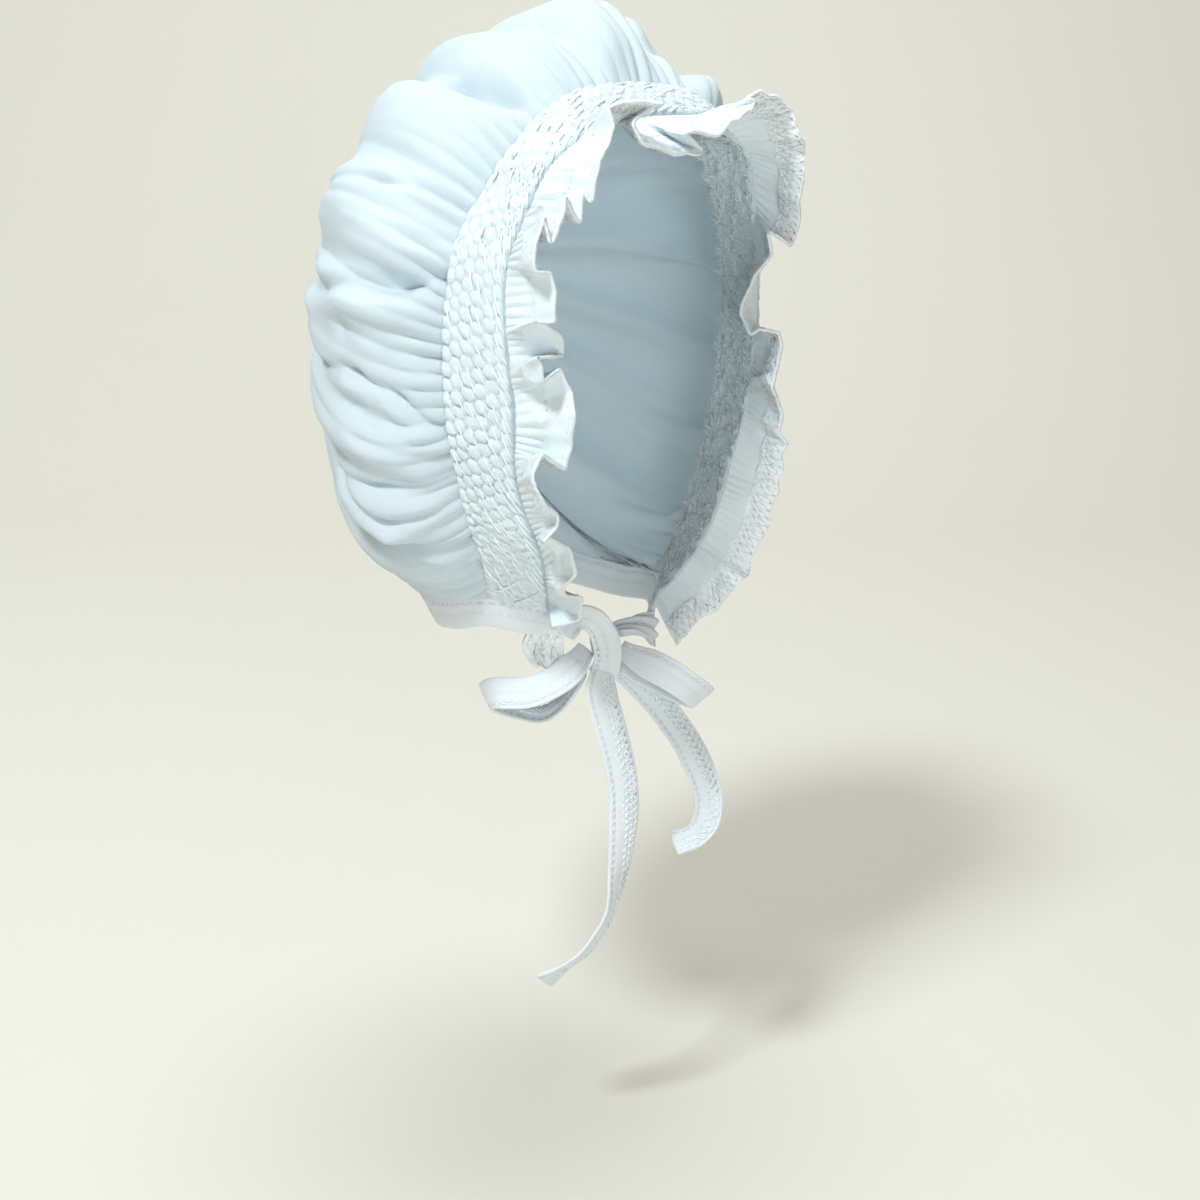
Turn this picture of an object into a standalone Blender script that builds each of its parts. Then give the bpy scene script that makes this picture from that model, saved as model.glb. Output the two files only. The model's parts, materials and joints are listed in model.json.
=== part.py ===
"""Christening bonnet of fine white cotton: a full gathered crown, a smocked band round the face,
a fluted ruffle, a neck band, and two ties knotted into a bow under the chin.

Metres, +Z up. The face looks to -Y and the wearer's right is -X. The origin is where the top of
the head bears on the inside of the crown, above the middle of the neck.
"""
import math

import bmesh
import bpy
from mathutils import Vector

# Walls and the gap between neighbouring pieces
CROWN_WALL = 0.0012
BAND_WALL = 0.0014
RUFFLE_WALL = 0.0010
NECK_BAND_WALL = 0.0020
TIE_WALL = 0.0014
GAP = 0.0003

# The face opening: an arch at the seam with the crown, and a smaller one in front of it
SEAM_HALF_WIDTH = 0.0555
SEAM_HEIGHT = 0.138
SEAM_TOP = -0.0180
SEAM_FORWARD = 0.0205
RIM_HALF_WIDTH = 0.0500
RIM_HEIGHT = 0.135
RIM_TOP = -0.0250
BAND_WIDTH = 0.0170
CHIN_SKEW = 0.0045

# Down the arch from its top: share of the height, of the seam's half width, of the rim's half
# width, and how far seam and rim step forward, as shares of the smocked band's width
ARCH = [
    # drop, seam_out, rim_out, seam_step, rim_step
    (0.000, 0.00, 0.00, 0.70, 1.32),
    (0.008, 0.31, 0.34, 0.66, 1.32),
    (0.035, 0.49, 0.56, 0.55, 1.29),
    (0.085, 0.62, 0.78, 0.36, 1.23),
    (0.165, 0.76, 0.89, 0.16, 1.12),
    (0.270, 0.93, 0.98, 0.04, 1.00),
    (0.390, 0.99, 0.99, 0.00, 1.04),
    (0.510, 1.00, 0.96, 0.00, 1.11),
    (0.620, 0.975, 0.93, 0.02, 1.05),
    (0.720, 0.91, 0.84, 0.02, 1.00),
    (0.810, 0.845, 0.73, 0.00, 1.00),
    (0.900, 0.755, 0.62, -0.07, 0.79),
    (1.000, 0.65, 0.44, -0.30, 0.35),
]
SKEW_START = 0.70

# The crown: a soft dome round a middle point, gathered to a small centre at the back
CROWN_HALF_WIDTH = 0.0712
CROWN_RISE = 0.0887
CROWN_FALL = 0.0780
CROWN_BACK = 0.0620
CROWN_FRONT = 0.0920
CROWN_MIDDLE_Y = -0.0040
TOP_ROUNDNESS = 1.85
BOTTOM_ROUNDNESS = 2.35
TOP_TAPER = 1.75
GATHER_TILT = math.radians(11.0)
PUFF_REACH = 0.0115
CENTRE_DIMPLE = 0.0045
CENTRE_DIMPLE_REACH = 0.0110

# The neck line, from the seam's lower end round the nape: share of its half width, share of its
# depth back from the seam's lower end, and drop as a share of its depth
NECK_HALF_WIDTH = 0.0380
NECK_DEPTH = 0.0540
NECK_LINE = [
    # out, back, drop
    (0.985, 0.26, 0.050),
    (0.930, 0.48, 0.060),
    (0.700, 0.76, 0.030),
    (0.350, 0.945, -0.010),
    (0.000, 1.00, -0.030),
]

# Folds and puffs of the crown: angle round the face from the top in degrees where the fold leaves
# the seam and where it reaches the back, half width in degrees, height as a share of the fold
# depth (creases are negative), and the shares of the way back where it is full and where it ends
FOLD_DEPTH = 0.0042
FOLDS = [
    # angle_front, angle_back, half_width, height, full_from, full_to
    (-150, -152, 7, 0.50, 0.25, 0.60),
    (-142, -147, 4, -0.60, 0.12, 0.35),
    (-135, -139, 6, 0.55, 0.20, 0.60),
    (-128, -133, 4, -0.70, 0.15, 0.40),
    (-120, -124, 7, 0.55, 0.25, 0.70),
    (-113, -116, 4, -0.80, 0.12, 0.35),
    (-105, -106, 6, 0.55, 0.25, 0.70),
    (-99, -94, 4, -0.85, 0.12, 0.45),
    (-91, -90, 6, -0.40, 0.12, 0.30),
    (-84, -87, 5, -0.75, 0.35, 0.45),
    (-76, -79, 5, 0.75, 0.20, 0.70),
    (-67, -73, 4, -0.80, 0.12, 0.35),
    (-57, -60, 9, 0.60, 0.30, 0.70),
    (-47, -49, 4, -0.45, 0.25, 0.40),
    (-37, -38, 7, 0.30, 0.25, 0.60),
    (-27, -28, 4, -0.90, 0.10, 0.60),
    (-18, -20, 6, 0.40, 0.10, 0.25),
    (-9, -11, 3.5, -0.65, 0.08, 0.30),
    (0, -2, 6, 0.70, 0.08, 0.30),
    (9, 9, 3.5, -0.70, 0.08, 0.30),
    (18, 18, 6, 0.70, 0.10, 0.30),
    (27, 27, 4, -0.85, 0.10, 0.45),
    (38, 37, 8, 1.70, 0.10, 0.30),
    (50, 48, 4, -0.60, 0.15, 0.45),
    (62, 62, 7, 1.90, 0.10, 0.45),
    (75, 74, 4, -0.75, 0.12, 0.40),
    (87, 86, 8, 0.55, 0.25, 0.60),
    (98, 97, 4, -0.75, 0.12, 0.40),
    (108, 107, 7, 0.60, 0.20, 0.60),
    (119, 120, 4, -0.65, 0.15, 0.45),
    (129, 131, 7, 0.90, 0.15, 0.55),
    (139, 142, 4, -0.65, 0.15, 0.40),
    (149, 151, 7, 0.55, 0.20, 0.60),
    (162, 162, 5, -0.50, 0.15, 0.50),
    (171, 171, 6, 0.45, 0.20, 0.60),
    (180, 180, 5, -0.50, 0.15, 0.50),
    (-171, -171, 6, 0.45, 0.20, 0.60),
    (-161, -161, 5, -0.50, 0.15, 0.50),
]
GATHER_DEPTH = 0.0007
FRONT_GATHERS = 26
NECK_GATHERS = 8
POINTS_PER_GATHER = 4
GATHER_REACH = 0.016
CROWN_ROWS = 10
CROWN_ROW_EASE = 1.35

# The smocked band's quilted cells
CELL_HEIGHT = 0.0008
CELLS_ALONG = 40
CELLS_ACROSS = 3

# The ruffle: depth, number of flutes, how far they swing, and its lean out of straight forward in
# degrees down each side of the arch (outward is positive)
RUFFLE_DEPTH = 0.0165
RUFFLE_ROOT = 0.0011
FLUTES = 25
FLUTE_SWING = 0.0036
POINTS_PER_FLUTE = 6
RUFFLE_ROWS = 3
LEAN = [
    # drop, right_side, left_side
    (0.00, -5, -5),
    (0.04, -5, 30),
    (0.09, -8, 16),
    (0.15, -25, 5),
    (0.21, 20, -2),
    (0.27, 8, -12),
    (0.36, -10, -38),
    (0.47, -27, -35),
    (0.56, -10, -22),
    (0.63, 28, 5),
    (0.72, 26, 28),
    (0.79, 40, 32),
    (0.87, 18, 42),
    (1.00, -12, 40),
]

# The neck band hangs from the neck line
NECK_BAND_HEIGHT = 0.0095
NECK_BAND_TUCK_FRONT = 0.28
NECK_BAND_TUCK_BACK = 0.60
NECK_BAND_STEPS = 44

# Ties and bow
TIE_WIDTH = 0.0090
# The ties are pinched where they enter the knot: the share of their width there, and the distances
# from the knot's middle over which they open out
PINCH = 0.62
PINCH_FROM = 0.0055
PINCH_TO = 0.0150
KNOT_PLACE = Vector((-0.0004, -0.0276, -0.1710))
KNOT_HALF = Vector((0.0043, 0.0042, 0.0066))
KNOT_RINGS = 8
KNOT_SEGMENTS = 14
# The bow faces half to the wearer's right. Its points are across, out and up from the knot.
BOW_TURN = math.radians(-45.0)
ROUTE_STEP = 0.0042

RIGHT_TIE_ROUTE = [
    # across, out, up, turn in degrees
    (-0.0124, 0.0156, 0.0088, 0),
    (-0.0114, 0.0153, 0.0104, 0),
    (-0.0105, 0.0142, 0.0135, 0),
    (-0.0090, 0.0121, 0.0163, 5),
    (-0.0064, 0.0101, 0.0168, 10),
    (-0.0034, 0.0080, 0.0138, 15),
    (-0.0010, 0.0066, 0.0092, 15),
    (0.0002, 0.0057, 0.0056, 10),
]
LEFT_TIE_ROUTE = [
    (0.0148, -0.0138, -0.0010, 0),
    (0.0138, -0.0104, 0.0005, 0),
    (0.0112, -0.0068, 0.0024, -20),
    (0.0070, -0.0046, 0.0030, -50),
    (0.0036, -0.0031, 0.0026, -60),
]
LEFT_LOOP_ROUTE = [
    (-0.0056, 0.0023, -0.0015, -10),
    (-0.0090, 0.0060, -0.0050, -20),
    (-0.0142, 0.0080, -0.0092, -25),
    (-0.0215, 0.0085, -0.0124, -25),
    (-0.0287, 0.0070, -0.0134, -20),
    (-0.0325, 0.0040, -0.0148, -10),
    (-0.0342, 0.0000, -0.0176, 0),
    (-0.0322, -0.0040, -0.0208, 5),
    (-0.0262, -0.0060, -0.0242, 10),
    (-0.0186, -0.0060, -0.0255, 10),
    (-0.0127, -0.0045, -0.0215, 5),
    (-0.0086, -0.0030, -0.0150, 0),
    (-0.0058, -0.0020, -0.0095, 0),
]
RIGHT_LOOP_ROUTE = [
    (0.0044, 0.0022, -0.0016, 10),
    (0.0095, 0.0048, -0.0035, 15),
    (0.0170, 0.0060, -0.0069, 20),
    (0.0239, 0.0050, -0.0119, 15),
    (0.0283, 0.0015, -0.0164, 5),
    (0.0280, -0.0030, -0.0185, 0),
    (0.0239, -0.0055, -0.0180, 0),
    (0.0173, -0.0055, -0.0148, 0),
    (0.0108, -0.0042, -0.0106, 0),
    (0.0054, -0.0030, -0.0074, 0),
]
LONG_TAIL_ROUTE = [
    (-0.0004, 0.0041, -0.0052, 0),
    (-0.0011, 0.0056, -0.0090, 0),
    (-0.0010, 0.0070, -0.0135, 0),
    (0.0006, 0.0080, -0.0195, 0),
    (0.0028, 0.0080, -0.0274, 5),
    (0.0048, 0.0080, -0.0353, 5),
    (0.0062, 0.0080, -0.0449, 0),
    (0.0062, 0.0080, -0.0562, -10),
    (0.0053, 0.0080, -0.0695, -35),
    (0.0035, 0.0080, -0.0812, -60),
    (0.0001, 0.0080, -0.0904, -68),
    (-0.0043, 0.0080, -0.0973, -66),
    (-0.0102, 0.0080, -0.1022, -60),
    (-0.0166, 0.0080, -0.1071, -40),
]
SHORT_TAIL_ROUTE = [
    (0.0006, -0.0045, -0.0044, 0),
    (0.0036, -0.0078, -0.0090, 0),
    (0.0085, -0.0096, -0.0140, 0),
    (0.0130, -0.0105, -0.0190, 0),
    (0.0180, -0.0105, -0.0250, 5),
    (0.0245, -0.0100, -0.0339, 15),
    (0.0284, -0.0100, -0.0411, 15),
    (0.0314, -0.0100, -0.0484, 5),
    (0.0331, -0.0090, -0.0546, -5),
    (0.0323, -0.0070, -0.0604, -20),
    (0.0286, -0.0050, -0.0648, -35),
    (0.0225, -0.0040, -0.0665, -30),
]

COTTON_WHITE = (0.80, 0.82, 0.84, 1.0)
COTTON_ROUGHNESS = 0.85
DENSE = 24


def clear_scene():
    for thing in list(bpy.data.objects):
        bpy.data.objects.remove(thing, do_unlink=True)


def step(value, start, end):
    """Soft step from 0 at start to 1 at end."""
    share = min(1.0, max(0.0, (value - start) / (end - start)))
    return share * share * (3.0 - 2.0 * share)


def between(rows, place):
    """Smooth curve through evenly numbered rows; place runs from 0 to the last row."""
    last = len(rows) - 1
    index = min(last - 1, max(0, int(math.floor(place))))
    t = place - index
    before, start = rows[max(0, index - 1)], rows[index]
    end, after = rows[index + 1], rows[min(last, index + 2)]
    mixed = []
    for p, a, b, n in zip(before, start, end, after):
        slope_a, slope_b = (b - p) / 2.0, (n - a) / 2.0
        rest = 3.0 * (b - a) - 2.0 * slope_a - slope_b
        bend = 2.0 * (a - b) + slope_a + slope_b
        mixed.append(a + t * (slope_a + t * (rest + t * bend)))
    return mixed


def evenly(curve, last, count):
    """Places along a curve, from 0 to last, at even steps of its length."""
    fine = int(last * DENSE)
    points = [curve(last * i / fine) for i in range(fine + 1)]
    lengths = [0.0]
    for a, b in zip(points, points[1:]):
        lengths.append(lengths[-1] + (b - a).length)
    places = []
    at = 0
    for i in range(count + 1):
        wanted = lengths[-1] * i / count
        while at < fine - 1 and lengths[at + 1] < wanted:
            at += 1
        run = lengths[at + 1] - lengths[at]
        places.append(last * (at + (wanted - lengths[at]) / run) / fine)
    return places


ARCH_LAST = 2 * (len(ARCH) - 1)


def arch_row(place):
    """Row of the arch table from the right chin end (0) over the top to the left chin end."""
    side = -1.0 if place < ARCH_LAST / 2 else 1.0
    # the table is continued past its top so that the curve crosses the middle smoothly
    rows = [(r[0], -r[1], -r[2], r[3], r[4]) for r in ARCH[2:0:-1]] + ARCH
    drop, seam_out, rim_out, seam_step, rim_step = between(rows, 2 + abs(place - ARCH_LAST / 2))
    return side, max(0.0, drop), seam_out, rim_out, seam_step, rim_step


def arch_skew(side, drop):
    return -CHIN_SKEW * side * step(drop, SKEW_START, 1.0)


def seam_point(place):
    side, drop, out, _, forward, _ = arch_row(place)
    return Vector((side * out * SEAM_HALF_WIDTH,
                   -SEAM_FORWARD - forward * BAND_WIDTH,
                   SEAM_TOP - drop * SEAM_HEIGHT + arch_skew(side, drop)))


def rim_point(place):
    side, drop, _, out, _, forward = arch_row(place)
    return Vector((side * out * RIM_HALF_WIDTH,
                   -SEAM_FORWARD - forward * BAND_WIDTH,
                   RIM_TOP - drop * RIM_HEIGHT + arch_skew(side, drop)))


def neck_corner(side):
    return seam_point(ARCH_LAST if side > 0 else 0.0)


def neck_rows():
    """The neck line from the left seam end round the nape to the right seam end."""
    rows = []
    for side, table in ((1.0, NECK_LINE), (-1.0, NECK_LINE[-2::-1])):
        corner = neck_corner(side)
        for out, back, drop in table:
            fade = 1.0 - back
            rows.append((side * out * NECK_HALF_WIDTH,
                         neck_corner(1.0).y + back * NECK_DEPTH,
                         corner.z * fade + SEAM_LEVEL * back - drop * NECK_DEPTH))
    return [tuple(neck_corner(1.0))] + rows + [tuple(neck_corner(-1.0))]


SEAM_LEVEL = SEAM_TOP - SEAM_HEIGHT


def neck_point(place):
    return Vector(between(neck_rows(), place))


NECK_LAST = 2 * len(NECK_LINE)

CROWN_MIDDLE = Vector((0.0, CROWN_MIDDLE_Y, CROWN_WALL / 2 - CROWN_RISE))
GATHER_AXIS = Vector((0.0, math.cos(GATHER_TILT), math.sin(GATHER_TILT)))
GATHER_UP = Vector((0.0, -math.sin(GATHER_TILT), math.cos(GATHER_TILT)))


def dome_radius(direction):
    """Distance from the crown's middle to its smooth dome."""
    height = CROWN_RISE if direction.z > 0 else CROWN_FALL
    roundness = TOP_ROUNDNESS if direction.z > 0 else BOTTOM_ROUNDNESS
    depth = CROWN_BACK if direction.y > 0 else CROWN_FRONT
    blend = step(abs(direction.z), 0.0, 0.5)
    roundness = 2.0 + (roundness - 2.0) * blend
    across = abs(direction.x) / CROWN_HALF_WIDTH
    up = abs(direction.z) / height
    section = (across ** roundness + up ** roundness) ** (1.0 / roundness)
    taper = 2.0 + (TOP_TAPER - 2.0) * (blend if direction.z > 0 else 0.0)
    return (section ** taper + (abs(direction.y) / depth) ** taper) ** (-1.0 / taper)


def fold_height(angle, share):
    """Height of the crown's folds at an angle round the face and a share of the way back."""
    height = 0.0
    for front, back, half_width, size, full_from, full_to in FOLDS:
        middle = front + (back - front) * share
        away = (angle - middle + 180.0) % 360.0 - 180.0
        if abs(away) < 3.0 * half_width:
            along = step(share, 0.0, full_from) * (1.0 - step(share, full_to, 1.0))
            height += size * along * math.exp(-(away / half_width) ** 2)
    return height * FOLD_DEPTH


def crown_column(mouth, wave, rows):
    """Points from a place on the crown's mouth back to its gathered centre."""
    reach = mouth - CROWN_MIDDLE
    start = reach.normalized()
    polar = math.acos(start.dot(GATHER_AXIS))
    turn = math.atan2(start.x, start.dot(GATHER_UP))
    side = Vector((1.0, 0.0, 0.0))
    tuck = 1.0 - reach.length / dome_radius(start)
    points = []
    for row in range(rows):
        share = (row / rows) ** CROWN_ROW_EASE
        bend = polar * (1.0 - share)
        ring = GATHER_UP * math.cos(turn) + side * math.sin(turn)
        direction = GATHER_AXIS * math.cos(bend) + ring * math.sin(bend)
        radius = dome_radius(direction)
        run = radius * (polar - bend)
        dimple = CENTRE_DIMPLE * math.exp(-(radius * bend / CENTRE_DIMPLE_REACH) ** 2)
        radius *= 1.0 - tuck * math.exp(-(run / PUFF_REACH) ** 1.2)
        radius += fold_height(math.degrees(turn), share) - dimple
        pleat = GATHER_DEPTH * step(run, 0.0, GATHER_REACH / 4) * math.exp(-run / GATHER_REACH)
        radius += pleat * wave
        points.append(CROWN_MIDDLE + direction * radius)
    return points


def crown_grid():
    columns = []
    front = FRONT_GATHERS * POINTS_PER_GATHER
    for i, place in enumerate(evenly(seam_point, ARCH_LAST, front)[:-1]):
        columns.append((seam_point(place), i))
    neck = NECK_GATHERS * POINTS_PER_GATHER
    for i, place in enumerate(evenly(neck_point, NECK_LAST, neck)[:-1]):
        columns.append((neck_point(place), i))
    grid = []
    for mouth, i in columns:
        wave = math.cos(2.0 * math.pi * i / POINTS_PER_GATHER)
        grid.append(crown_column(mouth, wave, CROWN_ROWS))
    centre = CROWN_MIDDLE + GATHER_AXIS * (dome_radius(GATHER_AXIS) - CENTRE_DIMPLE)
    return grid, centre


def grid_normals(grid, wrap):
    """Unit normals of a grid of points, columns first."""
    last = len(grid) - 1
    normals = []
    for i, column in enumerate(grid):
        before = grid[i - 1] if i > 0 or wrap else column
        after = grid[(i + 1) % len(grid)] if i < last or wrap else column
        line = []
        for j in range(len(column)):
            along = after[j] - before[j]
            down = column[min(len(column) - 1, j + 1)] - column[max(0, j - 1)]
            line.append(down.cross(along).normalized())
        normals.append(line)
    return normals


def sheet_mesh(name, grid, wall, wrap=False, centre=None, ridges=False):
    """Closed sheet of even wall round a grid of middle points. With a centre, the last row of
    every column runs to that point. With ridges, every cell is split into two triangles along
    the line that joins its raised corners, which stand at every second point."""
    normals = grid_normals(grid, wrap)
    mesh = bmesh.new()
    sides = []
    for sign in (1.0, -1.0):
        sides.append([[mesh.verts.new(p + n * sign * wall / 2) for p, n in zip(column, line)]
                      for column, line in zip(grid, normals)])
    count, rows = len(grid), len(grid[0])
    spans = count if wrap else count - 1
    outer, inner = sides
    for i in range(spans):
        k = (i + 1) % count
        for j in range(rows - 1):
            for side in (outer, inner):
                ring = [side[i][j], side[i][j + 1], side[k][j + 1], side[k][j]]
                if ridges:
                    turn = 0 if (i + j) % 2 else 1
                    ring = ring[turn:] + ring[:turn]
                    mesh.faces.new(ring[:3])
                    mesh.faces.new((ring[2], ring[3], ring[0]))
                else:
                    mesh.faces.new(ring)
        mesh.faces.new((outer[i][0], outer[k][0], inner[k][0], inner[i][0]))
        if centre is None:
            mesh.faces.new((outer[i][-1], inner[i][-1], inner[k][-1], outer[k][-1]))
    if not wrap:
        for j in range(rows - 1):
            mesh.faces.new((outer[0][j], inner[0][j], inner[0][j + 1], outer[0][j + 1]))
            mesh.faces.new((outer[-1][j], outer[-1][j + 1], inner[-1][j + 1], inner[-1][j]))
    if centre is not None:
        tips = [mesh.verts.new(centre + GATHER_AXIS * sign * wall / 2) for sign in (1.0, -1.0)]
        for i in range(spans):
            k = (i + 1) % count
            mesh.faces.new((outer[i][-1], tips[0], outer[k][-1]))
            mesh.faces.new((inner[i][-1], inner[k][-1], tips[1]))
    bmesh.ops.recalc_face_normals(mesh, faces=mesh.faces)
    return finish(name, mesh)


def finish(name, mesh):
    data = bpy.data.meshes.new(name)
    mesh.to_mesh(data)
    mesh.free()
    data.shade_smooth()
    thing = bpy.data.objects.new(name, data)
    bpy.context.scene.collection.objects.link(thing)
    thing.data.materials.append(cotton(name))
    return thing


def cotton(name):
    material = bpy.data.materials.new(name + "_cotton")
    material.use_nodes = True
    shader = material.node_tree.nodes["Principled BSDF"]
    shader.inputs["Base Color"].default_value = COTTON_WHITE
    shader.inputs["Roughness"].default_value = COTTON_ROUGHNESS
    shader.inputs["Metallic"].default_value = 0.0
    return material


def pull_in(grid, amount):
    """Move a grid's first row towards its second, to leave a gap at a seam."""
    for column in grid:
        column[0] = column[0] + (column[1] - column[0]).normalized() * amount
    return grid


def build_crown():
    grid, centre = crown_grid()
    return sheet_mesh("crown", pull_in(grid, CROWN_WALL / 2 + GAP), CROWN_WALL, True, centre)


def build_smocked_band():
    columns = 2 * CELLS_ALONG
    rows = 2 * CELLS_ACROSS
    grid = []
    for i, place in enumerate(evenly(rim_point, ARCH_LAST, columns)):
        seam, rim = seam_point(place), rim_point(place)
        line = (rim - seam).normalized()
        seam, rim = seam + line * GAP, rim - line * GAP
        outward = Vector((seam.x, 0.0, seam.z - CROWN_MIDDLE.z)).normalized()
        column = []
        for j in range(rows + 1):
            share = j / rows
            raised = (i + j) % 2 == 1 and 0 < j < rows and 0 < i < columns
            column.append(seam.lerp(rim, share) + outward * (CELL_HEIGHT if raised else 0.0))
        grid.append(column)
    return sheet_mesh("smocked_band", grid, BAND_WALL, ridges=True)


def lean_at(side, drop):
    """Lean of the ruffle out of straight forward, in radians."""
    for upper, lower in zip(LEAN, LEAN[1:]):
        if drop <= lower[0]:
            share = step(drop, upper[0], lower[0])
            column = 1 if side < 0 else 2
            return math.radians(upper[column] + (lower[column] - upper[column]) * share)
    return math.radians(LEAN[-1][1 if side < 0 else 2])


def ruffle_column(place, flute):
    side, drop, *_ = arch_row(place)
    rim = rim_point(place)
    reach = 1e-3
    tangent = rim_point(min(ARCH_LAST, place + reach)) - rim_point(max(0.0, place - reach))
    tangent.normalize()
    forward = Vector((0.0, -1.0, 0.0))
    forward = (forward - tangent * forward.dot(tangent)).normalized()
    outward = forward.cross(tangent)
    lean = lean_at(side, drop)
    out = forward * math.cos(lean) + outward * math.sin(lean)
    swing = outward * math.cos(lean) - forward * math.sin(lean)
    wave = math.sin(2.0 * math.pi * flute)
    sway = math.cos(2.0 * math.pi * flute)
    column = []
    for j in range(RUFFLE_ROWS + 1):
        share = j / RUFFLE_ROWS
        depth = RUFFLE_ROOT + (RUFFLE_DEPTH - RUFFLE_ROOT) * share
        swell = share ** 1.2
        point = rim + out * depth + swing * FLUTE_SWING * wave * swell
        column.append(point + tangent * FLUTE_SWING * 0.25 * sway * swell)
    return column


def build_ruffle():
    columns = FLUTES * POINTS_PER_FLUTE
    grid = []
    for i, place in enumerate(evenly(rim_point, ARCH_LAST, columns)):
        grid.append(ruffle_column(place, i / POINTS_PER_FLUTE))
    return sheet_mesh("ruffle", grid, RUFFLE_WALL)


def band_rows():
    """The neck band's upper edge, from the right chin end round the nape to the left one."""
    right = [tuple(rim_point(0.0))]
    left = [tuple(rim_point(ARCH_LAST))]
    return right + neck_rows()[::-1] + left


def build_neck_band():
    rows = band_rows()
    last = len(rows) - 1

    def edge(place):
        return Vector(between(rows, place))
    grid = []
    for place in evenly(edge, last, NECK_BAND_STEPS):
        top = edge(place)
        inward = Vector((-top.x, -top.y, 0.0)).normalized()
        back = step(top.y, 0.0, NECK_DEPTH / 2)
        tuck = NECK_BAND_TUCK_FRONT + (NECK_BAND_TUCK_BACK - NECK_BAND_TUCK_FRONT) * back
        down = (Vector((0.0, 0.0, -1.0)) + inward * tuck).normalized()
        first = (NECK_BAND_WALL + CROWN_WALL) / 2 + GAP
        grid.append([top + down * (first + NECK_BAND_HEIGHT * j / 2) for j in range(3)])
    return sheet_mesh("neck_band", grid, NECK_BAND_WALL)


def bow_frame():
    across = Vector((math.cos(BOW_TURN), math.sin(BOW_TURN), 0.0))
    out = Vector((math.sin(BOW_TURN), -math.cos(BOW_TURN), 0.0))
    return across, out, Vector((0.0, 0.0, 1.0))


def strap_mesh(name, route, faces_out=True):
    """Flat strap along a route of points across, out and up from the knot, with its turn. Its
    broad face looks out of the bow, or across it."""
    across, out, up = bow_frame()
    looks = out if faces_out else across

    def middle(place):
        a, o, u, _ = between(route, place)
        return KNOT_PLACE + across * a + out * o + up * u
    last = len(route) - 1
    length = sum((middle(i + 1) - middle(i)).length for i in range(last))
    places = evenly(middle, last, max(4, round(length / ROUTE_STEP)))
    grid = []
    flat = None
    for place in places:
        near = 0.02
        ahead = middle(min(last, place + near)) - middle(max(0.0, place - near))
        ahead.normalize()
        # after its start the strap bends without twisting, apart from the turn in its table
        flat = ahead.cross(looks) if flat is None else flat - ahead * flat.dot(ahead)
        flat.normalize()
        face = flat.cross(ahead)
        turn = math.radians(between(route, place)[3])
        centre = middle(place)
        opened = step((centre - KNOT_PLACE).length, PINCH_FROM, PINCH_TO)
        width = flat * math.cos(turn) + face * math.sin(turn)
        width *= TIE_WIDTH * (PINCH + (1.0 - PINCH) * opened)
        grid.append([centre + width * (share - 0.5) for share in (0.0, 0.5, 1.0)])
    return sheet_mesh(name, grid, TIE_WALL)


def build_knot():
    across, out, up = bow_frame()
    mesh = bmesh.new()
    rings = []
    for i in range(1, KNOT_RINGS):
        level = math.pi * i / KNOT_RINGS
        ring = []
        for j in range(KNOT_SEGMENTS):
            turn = 2.0 * math.pi * j / KNOT_SEGMENTS
            a = KNOT_HALF.x * math.sin(level) * math.cos(turn)
            o = KNOT_HALF.y * math.sin(level) * math.sin(turn)
            u = KNOT_HALF.z * math.cos(level)
            ring.append(mesh.verts.new(KNOT_PLACE + across * a + out * o + up * u))
        rings.append(ring)
    poles = [mesh.verts.new(KNOT_PLACE + up * KNOT_HALF.z), mesh.verts.new(KNOT_PLACE - up * KNOT_HALF.z)]
    for j in range(KNOT_SEGMENTS):
        k = (j + 1) % KNOT_SEGMENTS
        for ring, lower in zip(rings, rings[1:]):
            mesh.faces.new((ring[j], lower[j], lower[k], ring[k]))
        mesh.faces.new((poles[0], rings[0][j], rings[0][k]))
        mesh.faces.new((poles[1], rings[-1][k], rings[-1][j]))
    bmesh.ops.recalc_face_normals(mesh, faces=mesh.faces)
    return finish("knot", mesh)


def main():
    clear_scene()
    build_crown()
    build_smocked_band()
    build_ruffle()
    build_neck_band()
    build_knot()
    strap_mesh("tie_right", RIGHT_TIE_ROUTE)
    strap_mesh("tie_left", LEFT_TIE_ROUTE, faces_out=False)
    strap_mesh("bow_loop_right", RIGHT_LOOP_ROUTE)
    strap_mesh("bow_loop_left", LEFT_LOOP_ROUTE)
    strap_mesh("tail_long", LONG_TAIL_ROUTE)
    strap_mesh("tail_short", SHORT_TAIL_ROUTE)


main()
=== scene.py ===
"""Christening bonnet of fine white cotton lawn: full gathered crown, smocked band, frilled ruffle,
neck band, and ties knotted into a bow. Every piece is cloth, made from the named sizes below.
"""

import json
import math

import bmesh
import bpy
import numpy as np
from mathutils import Matrix, Vector

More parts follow.
